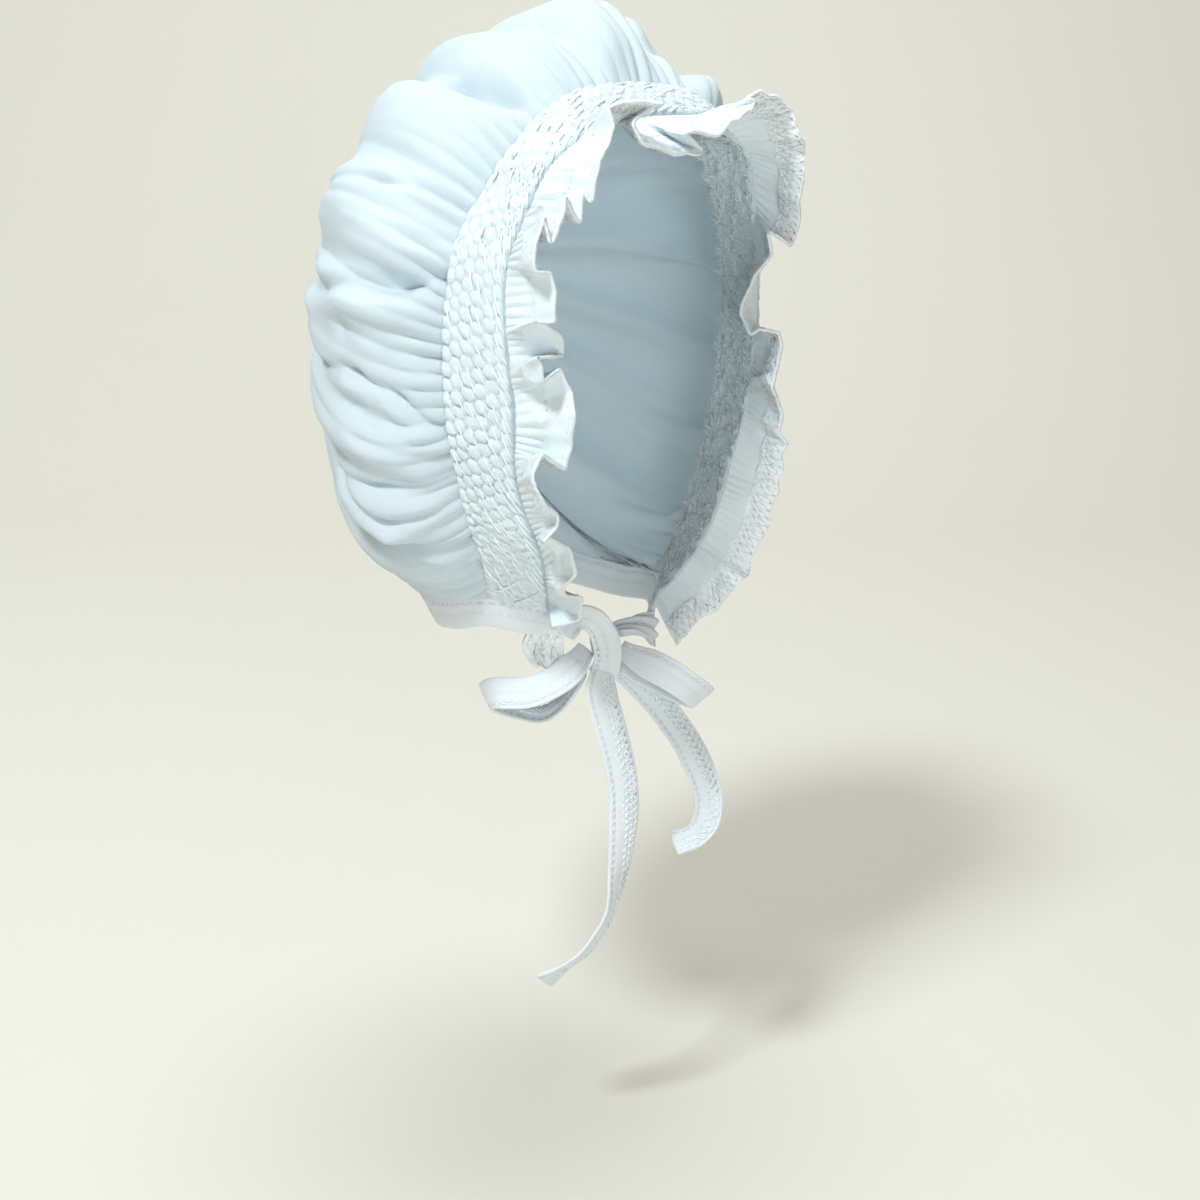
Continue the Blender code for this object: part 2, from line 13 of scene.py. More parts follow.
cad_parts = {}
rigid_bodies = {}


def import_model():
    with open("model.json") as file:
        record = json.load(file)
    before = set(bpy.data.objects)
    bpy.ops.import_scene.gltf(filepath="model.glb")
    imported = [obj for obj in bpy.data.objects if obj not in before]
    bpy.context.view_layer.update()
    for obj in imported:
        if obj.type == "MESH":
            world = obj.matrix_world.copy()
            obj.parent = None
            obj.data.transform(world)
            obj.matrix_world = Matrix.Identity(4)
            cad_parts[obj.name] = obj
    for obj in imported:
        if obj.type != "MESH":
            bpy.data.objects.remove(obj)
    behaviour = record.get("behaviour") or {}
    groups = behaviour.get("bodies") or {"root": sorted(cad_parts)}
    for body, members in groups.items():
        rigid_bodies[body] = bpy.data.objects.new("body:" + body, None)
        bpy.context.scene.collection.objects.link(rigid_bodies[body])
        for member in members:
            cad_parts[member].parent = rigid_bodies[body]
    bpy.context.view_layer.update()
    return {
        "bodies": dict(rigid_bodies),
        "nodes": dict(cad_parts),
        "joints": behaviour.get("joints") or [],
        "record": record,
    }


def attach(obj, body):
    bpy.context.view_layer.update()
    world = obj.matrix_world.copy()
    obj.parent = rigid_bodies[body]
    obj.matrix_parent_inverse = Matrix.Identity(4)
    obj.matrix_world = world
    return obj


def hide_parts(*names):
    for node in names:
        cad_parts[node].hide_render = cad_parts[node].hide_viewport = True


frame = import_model()
bpy.ops.object.select_all(action="DESELECT")

# The camera: standing place, the way it looks over the ground, and the way to its right
CAMERA_PLACE = Vector((-0.3288, -0.3288, -0.0050))
CAMERA_AHEAD = (0.6942, 0.6420)
CAMERA_RIGHT = Vector((0.6789, -0.7342, 0.0))
CAMERA_PITCH = math.radians(19.0)
CAMERA_ROLL = math.radians(1.3)
CAMERA_LENS = 49.5
SENSOR = 36.0

MM_PER_METRE = 1000.0
GAP = 0.0003
# The face opening: an arch at the seam with the crown, and a smaller one in front of it
SEAM_HALF_WIDTH = 0.0555
SEAM_HEIGHT = 0.138
SEAM_TOP = -0.0180
SEAM_FORWARD = 0.0205
RIM_HALF_WIDTH = 0.0500
RIM_HEIGHT = 0.135
RIM_TOP = -0.0250
BAND_WIDTH = 0.0170
CHIN_SKEW = 0.0045

# Down the arch from its top: share of the height, of the seam's half width, of the rim's half
# width, and how far seam and rim step forward, as shares of the smocked band's width
ARCH = [
    # drop, seam_out, rim_out, seam_step, rim_step
    (0.000, 0.00, 0.00, 0.70, 1.32),
    (0.008, 0.31, 0.34, 0.66, 1.32),
    (0.035, 0.49, 0.56, 0.55, 1.29),
    (0.085, 0.62, 0.78, 0.36, 1.23),
    (0.165, 0.76, 0.89, 0.16, 1.12),
    (0.270, 0.93, 0.98, 0.04, 1.00),
    (0.390, 0.99, 0.99, 0.00, 1.04),
    (0.510, 1.00, 0.96, 0.00, 1.11),
    (0.620, 0.975, 0.93, 0.02, 1.05),
    (0.720, 0.91, 0.84, 0.02, 1.00),
    (0.810, 0.845, 0.73, 0.00, 1.00),
    (0.900, 0.755, 0.62, -0.07, 0.79),
    (1.000, 0.65, 0.44, -0.30, 0.35),
]
SKEW_START = 0.70

# The crown: a soft dome round a middle point, gathered to a small centre at the back
CROWN_HALF_WIDTH = 0.0712
CROWN_RISE = 0.0887
CROWN_FALL = 0.0780
CROWN_BACK = 0.0620
CROWN_FRONT = 0.0920
CROWN_MIDDLE_Y = -0.0040
TOP_ROUNDNESS = 1.85
BOTTOM_ROUNDNESS = 2.35
TOP_TAPER = 1.75
GATHER_TILT = math.radians(11.0)
PUFF_REACH = 0.0115
CENTRE_DIMPLE = 0.0045
CENTRE_DIMPLE_REACH = 0.0110

# The neck line, from the seam's lower end round the nape: share of its half width, share of its
# depth back from the seam's lower end, and drop as a share of its depth
NECK_HALF_WIDTH = 0.0380
NECK_DEPTH = 0.0540
NECK_LINE = [
    # out, back, drop
    (0.985, 0.26, 0.050),
    (0.930, 0.48, 0.060),
    (0.700, 0.76, 0.030),
    (0.350, 0.945, -0.010),
    (0.000, 1.00, -0.030),
]

# Folds and puffs of the crown: angle round the face from the top in degrees where the fold leaves
# the seam and where it reaches the back, half width in degrees, height as a share of the fold
# depth (creases are negative), and the shares of the way back where it is full and where it ends
FOLD_DEPTH = 0.0042
FOLDS = [
    # angle_front, angle_back, half_width, height, full_from, full_to
    (-150, -152, 7, 0.50, 0.25, 0.60),
    (-142, -147, 4, -0.60, 0.12, 0.35),
    (-135, -139, 6, 0.55, 0.20, 0.60),
    (-128, -133, 4, -0.70, 0.15, 0.40),
    (-120, -124, 7, 0.55, 0.25, 0.70),
    (-113, -116, 4, -0.80, 0.12, 0.35),
    (-105, -106, 6, 0.55, 0.25, 0.70),
    (-99, -94, 4, -0.85, 0.12, 0.45),
    (-91, -90, 6, -0.40, 0.12, 0.30),
    (-84, -87, 5, -0.75, 0.35, 0.45),
    (-76, -79, 5, 0.75, 0.20, 0.70),
    (-67, -73, 4, -0.80, 0.12, 0.35),
    (-57, -60, 9, 0.60, 0.30, 0.70),
    (-47, -49, 4, -0.45, 0.25, 0.40),
    (-37, -38, 7, 0.30, 0.25, 0.60),
    (-27, -28, 4, -0.90, 0.10, 0.60),
    (-18, -20, 6, 0.40, 0.10, 0.25),
    (-9, -11, 3.5, -0.65, 0.08, 0.30),
    (0, -2, 6, 0.70, 0.08, 0.30),
    (9, 9, 3.5, -0.70, 0.08, 0.30),
    (18, 18, 6, 0.70, 0.10, 0.30),
    (27, 27, 4, -0.85, 0.10, 0.45),
    (38, 37, 8, 1.70, 0.10, 0.30),
    (50, 48, 4, -0.60, 0.15, 0.45),
    (62, 62, 7, 1.90, 0.10, 0.45),
    (75, 74, 4, -0.75, 0.12, 0.40),
    (87, 86, 8, 0.55, 0.25, 0.60),
    (98, 97, 4, -0.75, 0.12, 0.40),
    (108, 107, 7, 0.60, 0.20, 0.60),
    (119, 120, 4, -0.65, 0.15, 0.45),
    (129, 131, 7, 0.90, 0.15, 0.55),
    (139, 142, 4, -0.65, 0.15, 0.40),
    (149, 151, 7, 0.55, 0.20, 0.60),
    (162, 162, 5, -0.50, 0.15, 0.50),
    (171, 171, 6, 0.45, 0.20, 0.60),
    (180, 180, 5, -0.50, 0.15, 0.50),
    (-171, -171, 6, 0.45, 0.20, 0.60),
    (-161, -161, 5, -0.50, 0.15, 0.50),
]

# The ruffle's depth from its gathers to its hem
RUFFLE_DEPTH = 0.0165

# The ruffle's turned-in end, in the bow's own directions from the knot
END_LEFT = -0.0238
END_RIGHT = -0.0122
END_LOBE = 0.0030
END_TOP = 0.0085
END_DROP = 0.0138
END_BACK = 0.0045
END_TURN = 0.0060
END_WAVE = 0.0006
END_COLUMNS = 45
END_ROWS = 35

# The neck band hangs from the neck line
NECK_BAND_HEIGHT = 0.0095
NECK_BAND_TUCK_FRONT = 0.28
NECK_BAND_TUCK_BACK = 0.60

# Ties and bow
TIE_WIDTH = 0.0090
# The ties are pinched where they enter the knot: the share of their width there, and the distances
# from the knot's middle over which they open out
PINCH = 0.62
PINCH_FROM = 0.0055
PINCH_TO = 0.0150
KNOT_PLACE = (-0.0004, -0.0276, -0.1710)
KNOT_HALF = (0.0043, 0.0042, 0.0066)
KNOT_FILL = 0.94
KNOT_TIP = 0.96
KNOT_TURNS = 72
KNOT_LEVELS = 40
# Radii that the knot's cloth is measured on, round it and down it
KNOT_MAP = (0.004, 0.006)
# The bow faces half to the wearer's right. Its points are across, out and up from the knot.
BOW_TURN = math.radians(-45.0)

RIGHT_TIE_ROUTE = [
    # across, out, up, turn in degrees
    (-0.0124, 0.0150, 0.0080, 0),
    (-0.0100, 0.0138, 0.0108, 0),
    (-0.0068, 0.0115, 0.0113, 0),
    (-0.0034, 0.0093, 0.0092, 0),
    (-0.0008, 0.0077, 0.0047, 0),
    (0.0005, 0.0068, -0.0008, 0),
    (0.0002, 0.0058, -0.0054, 0),
    (-0.0012, 0.0034, -0.0088, 0),
]
LEFT_TIE_ROUTE = [
    (0.0148, -0.0138, -0.0010, 0),
    (0.0138, -0.0104, 0.0005, 0),
    (0.0112, -0.0068, 0.0024, -20),
    (0.0070, -0.0046, 0.0030, -50),
    (0.0036, -0.0031, 0.0026, -60),
]
LEFT_LOOP_ROUTE = [
    (-0.0056, 0.0023, -0.0015, -10),
    (-0.0090, 0.0060, -0.0050, -20),
    (-0.0142, 0.0080, -0.0092, -25),
    (-0.0215, 0.0085, -0.0124, -25),
    (-0.0287, 0.0070, -0.0134, -20),
    (-0.0325, 0.0040, -0.0148, -10),
    (-0.0342, 0.0000, -0.0176, 0),
    (-0.0322, -0.0040, -0.0208, 5),
    (-0.0262, -0.0060, -0.0242, 10),
    (-0.0186, -0.0060, -0.0255, 10),
    (-0.0127, -0.0045, -0.0215, 5),
    (-0.0086, -0.0030, -0.0150, 0),
    (-0.0058, -0.0020, -0.0095, 0),
]
RIGHT_LOOP_ROUTE = [
    (0.0044, 0.0022, -0.0016, 10),
    (0.0095, 0.0048, -0.0035, 15),
    (0.0170, 0.0060, -0.0069, 20),
    (0.0239, 0.0050, -0.0119, 15),
    (0.0283, 0.0015, -0.0164, 5),
    (0.0280, -0.0030, -0.0185, 0),
    (0.0239, -0.0055, -0.0180, 0),
    (0.0173, -0.0055, -0.0148, 0),
    (0.0108, -0.0042, -0.0106, 0),
    (0.0054, -0.0030, -0.0074, 0),
]
LONG_TAIL_ROUTE = [
    (-0.0004, 0.0041, -0.0052, 0),
    (-0.0011, 0.0056, -0.0090, 0),
    (-0.0010, 0.0070, -0.0135, 0),
    (0.0006, 0.0080, -0.0195, 0),
    (0.0028, 0.0080, -0.0274, 5),
    (0.0048, 0.0080, -0.0353, 5),
    (0.0062, 0.0080, -0.0449, 0),
    (0.0062, 0.0080, -0.0562, 15),
    (0.0053, 0.0080, -0.0695, 35),
    (0.0035, 0.0080, -0.0812, 55),
    (0.0001, 0.0080, -0.0904, 50),
    (-0.0043, 0.0080, -0.0973, 47),
    (-0.0102, 0.0080, -0.1022, 45),
    (-0.0166, 0.0080, -0.1071, 20),
]
SHORT_TAIL_ROUTE = [
    (0.0006, -0.0045, -0.0044, 0),
    (0.0036, -0.0078, -0.0090, 0),
    (0.0085, -0.0096, -0.0140, 0),
    (0.0130, -0.0105, -0.0190, 0),
    (0.0180, -0.0105, -0.0250, 5),
    (0.0245, -0.0100, -0.0339, 15),
    (0.0284, -0.0100, -0.0411, 15),
    (0.0314, -0.0100, -0.0484, 5),
    (0.0331, -0.0090, -0.0546, -5),
    (0.0323, -0.0070, -0.0604, -20),
    (0.0286, -0.0050, -0.0648, -35),
    (0.0225, -0.0040, -0.0665, -30),
]

# Walls of the cloth as it is sewn
CROWN_WALL = 0.0012
LAWN = 0.0005
NECK_BAND_WALL = 0.0020
DENSE = 40


# Curves and surfaces

def step(value, start, end):
    """Soft step from 0 at start to 1 at end."""
    share = np.clip((np.asarray(value, float) - start) / (end - start), 0.0, 1.0)
    return share * share * (3.0 - 2.0 * share)


def between(rows, places):
    """Smooth curve through evenly numbered rows, at many places at once."""
    rows = np.asarray(rows, float)
    places = np.asarray(places, float)
    last = len(rows) - 1
    index = np.clip(np.floor(places).astype(int), 0, last - 1)
    t = (places - index)[..., None]
    p, a = rows[np.maximum(index - 1, 0)], rows[index]
    b, n = rows[index + 1], rows[np.minimum(index + 2, last)]
    slope_a, slope_b = (b - p) / 2.0, (n - a) / 2.0
    rest = 3.0 * (b - a) - 2.0 * slope_a - slope_b
    bend = 2.0 * (a - b) + slope_a + slope_b
    return a + t * (slope_a + t * (rest + t * bend))


def evenly(curve, last, count):
    """Places along a curve at even steps of its length, and that length."""
    fine = np.linspace(0.0, last, int(last * DENSE) + 1)
    points = curve(fine)
    lengths = run_along(points)
    return np.interp(np.linspace(0.0, lengths[-1], count + 1), lengths, fine), lengths[-1]


def run_along(points):
    """Way from the start of a line of points to each of them."""
    return np.concatenate([[0.0], np.cumsum(np.linalg.norm(np.diff(points, axis=0), axis=1))])


def read_line(at, run, line):
    """Points of a line at ways along it."""
    return np.stack([np.interp(at, run, line[:, c]) for c in range(3)], -1)


def unit(v):
    return v / np.maximum(np.linalg.norm(v, axis=-1, keepdims=True), 1e-12)


# Numbers that stir the bits of a cell's own random number
SEED_STEP = 7919
SEED_START = 17
CELL_STIR = 0x9E3779B97F4A7C15
LAST_STIR = 0xBF58476D1CE4E5B9


def scatter(*cells, seed=0):
    """Even random numbers from 0 to 1 for whole-numbered cells, the same on every run."""
    mix = np.uint64(seed * SEED_STEP + SEED_START)
    for k, cell in enumerate(cells):
        grown = np.asarray(cell).astype(np.int64).astype(np.uint64)
        mix = (mix ^ (grown * np.uint64(CELL_STIR + 2 * k))) * np.uint64(LAST_STIR)
        mix = mix ^ (mix >> np.uint64(29))
    return (mix >> np.uint64(11)).astype(float) / float(1 << 53)


def clouds(*axes, seed=0):
    """Soft noise from 0 to 1 over two or three axes, with cells one unit wide."""
    axes = np.broadcast_arrays(*[np.asarray(a, float) for a in axes])
    low = [np.floor(a) for a in axes]
    part = [a - f for a, f in zip(axes, low)]
    ease = [p * p * (3.0 - 2.0 * p) for p in part]
    total = 0.0
    for corner in range(1 << len(axes)):
        picks = [(corner >> k) & 1 for k in range(len(axes))]
        weight = 1.0
        for pick, e in zip(picks, ease):
            weight = weight * (e if pick else 1.0 - e)
        total = total + weight * scatter(*[f + pick for f, pick in zip(low, picks)], seed=seed)
    return total


ARCH_LAST = 2 * (len(ARCH) - 1)
ARCH_ROWS = [(r[0], -r[1], -r[2], r[3], r[4]) for r in ARCH[2:0:-1]] + ARCH
SEAM_LEVEL = SEAM_TOP - SEAM_HEIGHT


def arch(places):
    """Points of seam and rim round the face opening."""
    places = np.asarray(places, float)
    side = np.where(places < ARCH_LAST / 2, -1.0, 1.0)
    rows = between(ARCH_ROWS, 2 + np.abs(places - ARCH_LAST / 2))
    drop, seam_out, rim_out, seam_step, rim_step = np.moveaxis(rows, -1, 0)
    drop = np.maximum(0.0, drop)
    skew = -CHIN_SKEW * side * step(drop, SKEW_START, 1.0)
    seam = np.stack([side * seam_out * SEAM_HALF_WIDTH, -SEAM_FORWARD - seam_step * BAND_WIDTH,
                     SEAM_TOP - drop * SEAM_HEIGHT + skew], -1)
    rim = np.stack([side * rim_out * RIM_HALF_WIDTH, -SEAM_FORWARD - rim_step * BAND_WIDTH,
                    RIM_TOP - drop * RIM_HEIGHT + skew], -1)
    return seam, rim


def seam_curve(places):
    return arch(places)[0]


def rim_curve(places):
    return arch(places)[1]


def neck_rows():
    """The neck line from the left seam end round the nape to the right seam end."""
    left, right = seam_curve(ARCH_LAST), seam_curve(0.0)
    rows = [tuple(left)]
    for side, corner, table in ((1.0, left, NECK_LINE), (-1.0, right, NECK_LINE[-2::-1])):
        for out, back, drop in table:
            rows.append((side * out * NECK_HALF_WIDTH, left[1] + back * NECK_DEPTH,
                         corner[2] * (1.0 - back) + SEAM_LEVEL * back - drop * NECK_DEPTH))
    return rows + [tuple(right)]


def neck_curve(places):
    return between(neck_rows(), places)


NECK_LAST = 2 * len(NECK_LINE)
CROWN_MIDDLE = np.array((0.0, CROWN_MIDDLE_Y, CROWN_WALL / 2 - CROWN_RISE))
GATHER_AXIS = np.array((0.0, math.cos(GATHER_TILT), math.sin(GATHER_TILT)))
GATHER_UP = np.array((0.0, -math.sin(GATHER_TILT), math.cos(GATHER_TILT)))
SIDE = np.array((1.0, 0.0, 0.0))
KNOT_MIDDLE = np.array(KNOT_PLACE)
BOW_ACROSS = np.array((math.cos(BOW_TURN), math.sin(BOW_TURN), 0.0))
BOW_OUT = np.array((math.sin(BOW_TURN), -math.cos(BOW_TURN), 0.0))
BOW_UP = np.array((0.0, 0.0, 1.0))


def from_knot(across, out, up):
    """Points at ways across, out and up from the knot's middle, as the bow faces."""
    return KNOT_MIDDLE + across[..., None] * BOW_ACROSS + out[..., None] * BOW_OUT + up[..., None] * BOW_UP


def dome_radius(direction):
    """Distance from the crown's middle to its smooth dome."""
    x, y, z = np.moveaxis(direction, -1, 0)
    height = np.where(z > 0, CROWN_RISE, CROWN_FALL)
    depth = np.where(y > 0, CROWN_BACK, CROWN_FRONT)
    blend = step(np.abs(z), 0.0, 0.5)
    roundness = 2.0 + (np.where(z > 0, TOP_ROUNDNESS, BOTTOM_ROUNDNESS) - 2.0) * blend
    across = np.abs(x) / CROWN_HALF_WIDTH
    up = np.abs(z) / height
    section = (across ** roundness + up ** roundness) ** (1.0 / roundness)
    taper = 2.0 + (TOP_TAPER - 2.0) * np.where(z > 0, blend, 0.0)
    return (section ** taper + (np.abs(y) / depth) ** taper) ** (-1.0 / taper)


def grid_normals(grid, wrap):
    """Unit normals of a grid of points, columns first."""
    if wrap:
        along = np.roll(grid, -1, 0) - np.roll(grid, 1, 0)
    else:
        along = np.gradient(grid, axis=0)
    down = np.gradient(grid, axis=1)
    return unit(np.cross(down, along))


# Making pieces

def add_piece(name, points, faces, uvs, parts=None):
    """A piece from points and faces, with its UV map in metres and a named share per point."""
    data = bpy.data.meshes.new(name)
    data.from_pydata([tuple(p) for p in points], [], [tuple(f) for f in faces])
    data.update()
    loops = np.empty(len(data.loops), dtype=np.int32)
    data.loops.foreach_get("vertex_index", loops)
    layer = data.uv_layers.new(name="cloth")
    layer.data.foreach_set("uv", np.asarray(uvs, dtype=np.float32)[loops].ravel())
    for label, values in (parts or {}).items():
        layer = data.attributes.new(label, "FLOAT", "POINT")
        layer.data.foreach_set("value", np.asarray(values, dtype=np.float32))
    data.shade_smooth()
    thing = bpy.data.objects.new(name, data)
    bpy.context.scene.collection.objects.link(thing)
    return thing


def cloth_map(across, along):
    """UV map in metres, from the ways across and along a cloth for its rows and columns."""
    return np.stack(np.broadcast_arrays(across, along), -1)


def face_outward(piece):
    mesh = bmesh.new()
    mesh.from_mesh(piece.data)
    bmesh.ops.recalc_face_normals(mesh, faces=mesh.faces)
    mesh.to_mesh(piece.data)
    mesh.free()


def grid_faces(columns, rows, wrap, start=0, flip=False):
    i, j = np.meshgrid(np.arange(columns if wrap else columns - 1), np.arange(rows - 1), indexing="ij")
    k = (i + 1) % columns
    quads = np.stack([i * rows + j, i * rows + j + 1, k * rows + j + 1, k * rows + j], -1).reshape(-1, 4)
    if flip:
        quads = quads[:, ::-1]
    return quads + start


def two_sided(name, outer, inner, uvs, parts):
    """Closed cloth from its outer and inner grids of points."""
    columns, rows = outer.shape[:2]
    points = np.concatenate([outer.reshape(-1, 3), inner.reshape(-1, 3)])
    size = columns * rows
    faces = [grid_faces(columns, rows, False), grid_faces(columns, rows, False, size, True)]
    index = np.arange(size).reshape(columns, rows)
    for edge in (index[::-1, 0], index[:, -1], index[0], index[-1, ::-1]):
        faces.append(np.stack([edge[:-1] + size, edge[1:] + size, edge[1:], edge[:-1]], -1))
    flat = uvs.reshape(-1, 2)
    made = {label: np.concatenate([np.asarray(a, float).ravel(), np.asarray(b, float).ravel()])
            for label, (a, b) in parts.items()}
    return add_piece(name, points, np.concatenate(faces), np.concatenate([flat, flat]), made)


def ring_faces(rings, sides, start=0):
    """Faces of a tube of rings, each with the same number of points."""
    faces = []
    for ring in range(start, start + (rings - 1) * sides, sides):
        for j in range(sides):
            k = (j + 1) % sides
            faces.append((ring + j, ring + k, ring + sides + k, ring + sides + j))
    return faces


def tubes(name, routes, radius, sides, taper):
    """Many short round threads as one piece. Each route is an array of points."""
    points, faces, uvs = [], [], []
    turn = np.linspace(0.0, math.tau, sides, endpoint=False)
    base = 0
    for route in routes:
        route = np.asarray(route, float)
        ahead = unit(np.gradient(route, axis=0))
        helper = np.where(np.abs(ahead[:, 2:3]) > 0.9, SIDE, BOW_UP)
        a = unit(np.cross(ahead, helper))
        b = np.cross(ahead, a)
        count = len(route)
        share = np.linspace(-1.0, 1.0, count)
        size = radius * (1.0 - (1.0 - taper) * np.abs(share) ** 4)
        ring = np.cos(turn)[None, :, None] * a[:, None] + np.sin(turn)[None, :, None] * b[:, None]
        points.append((route[:, None] + ring * size[:, None, None]).reshape(-1, 3))
        run = run_along(route)
        uvs.append(np.stack([np.tile(turn * radius, count), np.repeat(run, sides)], -1))
        faces += ring_faces(count, sides, base)
        faces.append(tuple(base + j for j in range(sides))[::-1])
        faces.append(tuple(base + (count - 1) * sides + j for j in range(sides)))
        base += count * sides
    return add_piece(name, np.concatenate(points), faces, np.concatenate(uvs))


# The crown

PLEAT_PITCH = 0.0041
PLEAT_DEPTH = 0.0021
PLEAT_REACH = 0.0125
BUNCH_DEPTH = 0.0013
BUNCH_REACH = 0.020
WRINKLE_DEPTH = 0.0012
WRINKLES_ROUND = 8.0
WRINKLE_LENGTH = 0.050
CROWN_FRONT_COLUMNS = 560
CROWN_NECK_COLUMNS = 150
CROWN_FINE_ROWS = 118
MM_PER_DEGREE = 1.13
CREASE_END = 4.0
CRUMPLE_DEPTH = 0.0007
SPOKES = 34
SPOKE_HEIGHT = 0.0006
SPOKE_REACH = 0.007
# What the crown's cloth is measured by: a radius round it, and where its way back starts and ends
CROWN_MAP_RADIUS = 0.065
CROWN_MAP_START = 0.3
CROWN_MAP_END = 0.4
SEAM_UNDER = 0.0014

# Creases pressed into the crown: angle round the face in degrees and way back from the seam in
# millimetres at both ends, half width, depth, and the swell beside it (towards a larger angle
# where positive)
CREASES = [
    # angle_from, back_from, angle_to, back_to, half_width, depth, swell
    (-26, 9, -28, 24, 1.3, 2.4, 0.8),
    (-28, 24, -31, 46, 1.5, 2.0, 0.8),
    (-48, 3, -52, 24, 1.0, 1.0, 0.4),
    (-52, 24, -55, 52, 1.3, 1.1, 0.4),
    (-62, -2, -69, 12, 1.7, 2.2, 1.0),
    (-69, 12, -77, 42, 2.4, 3.0, 1.4),
    (-79, 10, -82, 30, 3.2, 2.4, 0.0),
    (-82, 3, -85, 14, 4.5, 1.6, 0.0),
    (-101, 0, -93, 12, 1.3, 1.5, -0.8),
    (-93, 12, -91, 27, 1.5, 2.0, -1.0),
    (-91, 27, -99, 66, 1.8, 1.6, -0.8),
    (-106, 4, -104, 22, 1.0, 0.8, 0.3),
    (-113, 2, -115, 22, 1.0, 1.2, 0.5),
    (-115, 22, -118, 40, 1.2, 1.3, 0.5),
    (-121, 10, -122, 20, 1.1, 1.8, -0.9),
    (-122, 20, -119, 37, 1.2, 1.8, -0.9),
    (-131, 2, -129, 18, 1.4, 2.2, 0.8),
    (-129, 18, -132, 38, 1.6, 2.0, 0.8),
    (-139, 1, -133, 15, 1.2, 1.6, 0.5),
    (-17, 2, -17, 20, 0.9, 1.4, 0.6),
    (-9, 2, -8, 26, 1.0, 1.6, 0.6),
    (2, 2, 3, 22, 0.9, 1.5, 0.6),
    (13, 2, 13, 27, 1.1, 1.9, 0.8),
    (24, 3, 25, 24, 1.0, 1.6, 0.6),
    (45, 2, 48, 30, 1.4, 1.8, 0.8),
    (73, 4, 76, 34, 1.4, 1.8, 0.8),
    (94, 3, 97, 28, 1.2, 1.5, 0.6),
    (117, 3, 120, 36, 1.4, 1.9, 0.7),
    (140, 3, 143, 30, 1.2, 1.6, 0.6),
]


def beside_zero(degrees):
    """The same angles, counted from -180 to 180 degrees."""
    return (degrees + 180.0) % 360.0 - 180.0


def fold_height(angle, share):
    height = np.zeros_like(angle)
    for front, back, half_width, size, full_from, full_to in FOLDS:
        away = beside_zero(angle - front - (back - front) * share)
        along = step(share, 0.0, full_from) * (1.0 - step(share, full_to, 1.0))
        height += size * along * np.exp(-(away / half_width) ** 2)
    return height * FOLD_DEPTH


# Broad rises and dents of the crown: angle in degrees, way back in millimetres, half widths of
# both, and height in millimetres
SWELLS = [
    # angle, back, half_angle, half_back, height
    (-20, 48, 5, 16, 2.0),
    (-34, 42, 5, 18, 4.6),
    (-43, 46, 6, 20, 2.6),
    (-53, 46, 7, 20, 4.0),
    (-70, 60, 4, 18, 5.5),
    (-77, 54, 4, 18, -4.5),
    (-88, 55, 5, 18, 3.0),
    (-104, 54, 7, 26, -3.0),
    (-121, 52, 7, 18, -4.0),
    (-2, 40, 7, 12, -2.5),
    (8, 25, 8, 12, 4.5),
    (19, 12, 6, 8, -4.5),
    (36, 12, 8, 10, 6.0),
    (-15, 36, 4, 12, -2.0),
    (-62, 52, 4, 14, 2.0),
    (-83, 57, 3, 10, 3.0),
    (14, 17, 4, 5, -4.0),
]


def swell_height(angle, run):
    height = np.zeros_like(angle)
    for middle, back, half_angle, half_back, size in SWELLS:
        beside = beside_zero(angle - middle) / half_angle
        behind = (run * MM_PER_METRE - back) / half_back
        height += size * np.exp(-beside ** 2 - behind ** 2)
    return height / MM_PER_METRE


def crease_height(angle, run):
    height = np.zeros_like(angle)
    for a0, r0, a1, r1, half_width, depth, swell in CREASES:
        x = beside_zero(angle - a0) * MM_PER_DEGREE
        y = run * MM_PER_METRE - r0
        dx, dy = (a1 - a0) * MM_PER_DEGREE, r1 - r0
        length = math.hypot(dx, dy)
        dx, dy = dx / length, dy / length
        along = x * dx + y * dy
        beside = x * dy - y * dx
        past = np.maximum(0.0, np.maximum(-along, along - length))
        ends = np.exp(-(past / CREASE_END) ** 2)
        height -= depth * np.exp(-(beside / half_width) ** 2) * ends
        if swell:
            off = beside - math.copysign(2.6 * half_width, swell)
            height += abs(swell) * np.exp(-(off / (1.9 * half_width)) ** 2) * ends
    return height / MM_PER_METRE


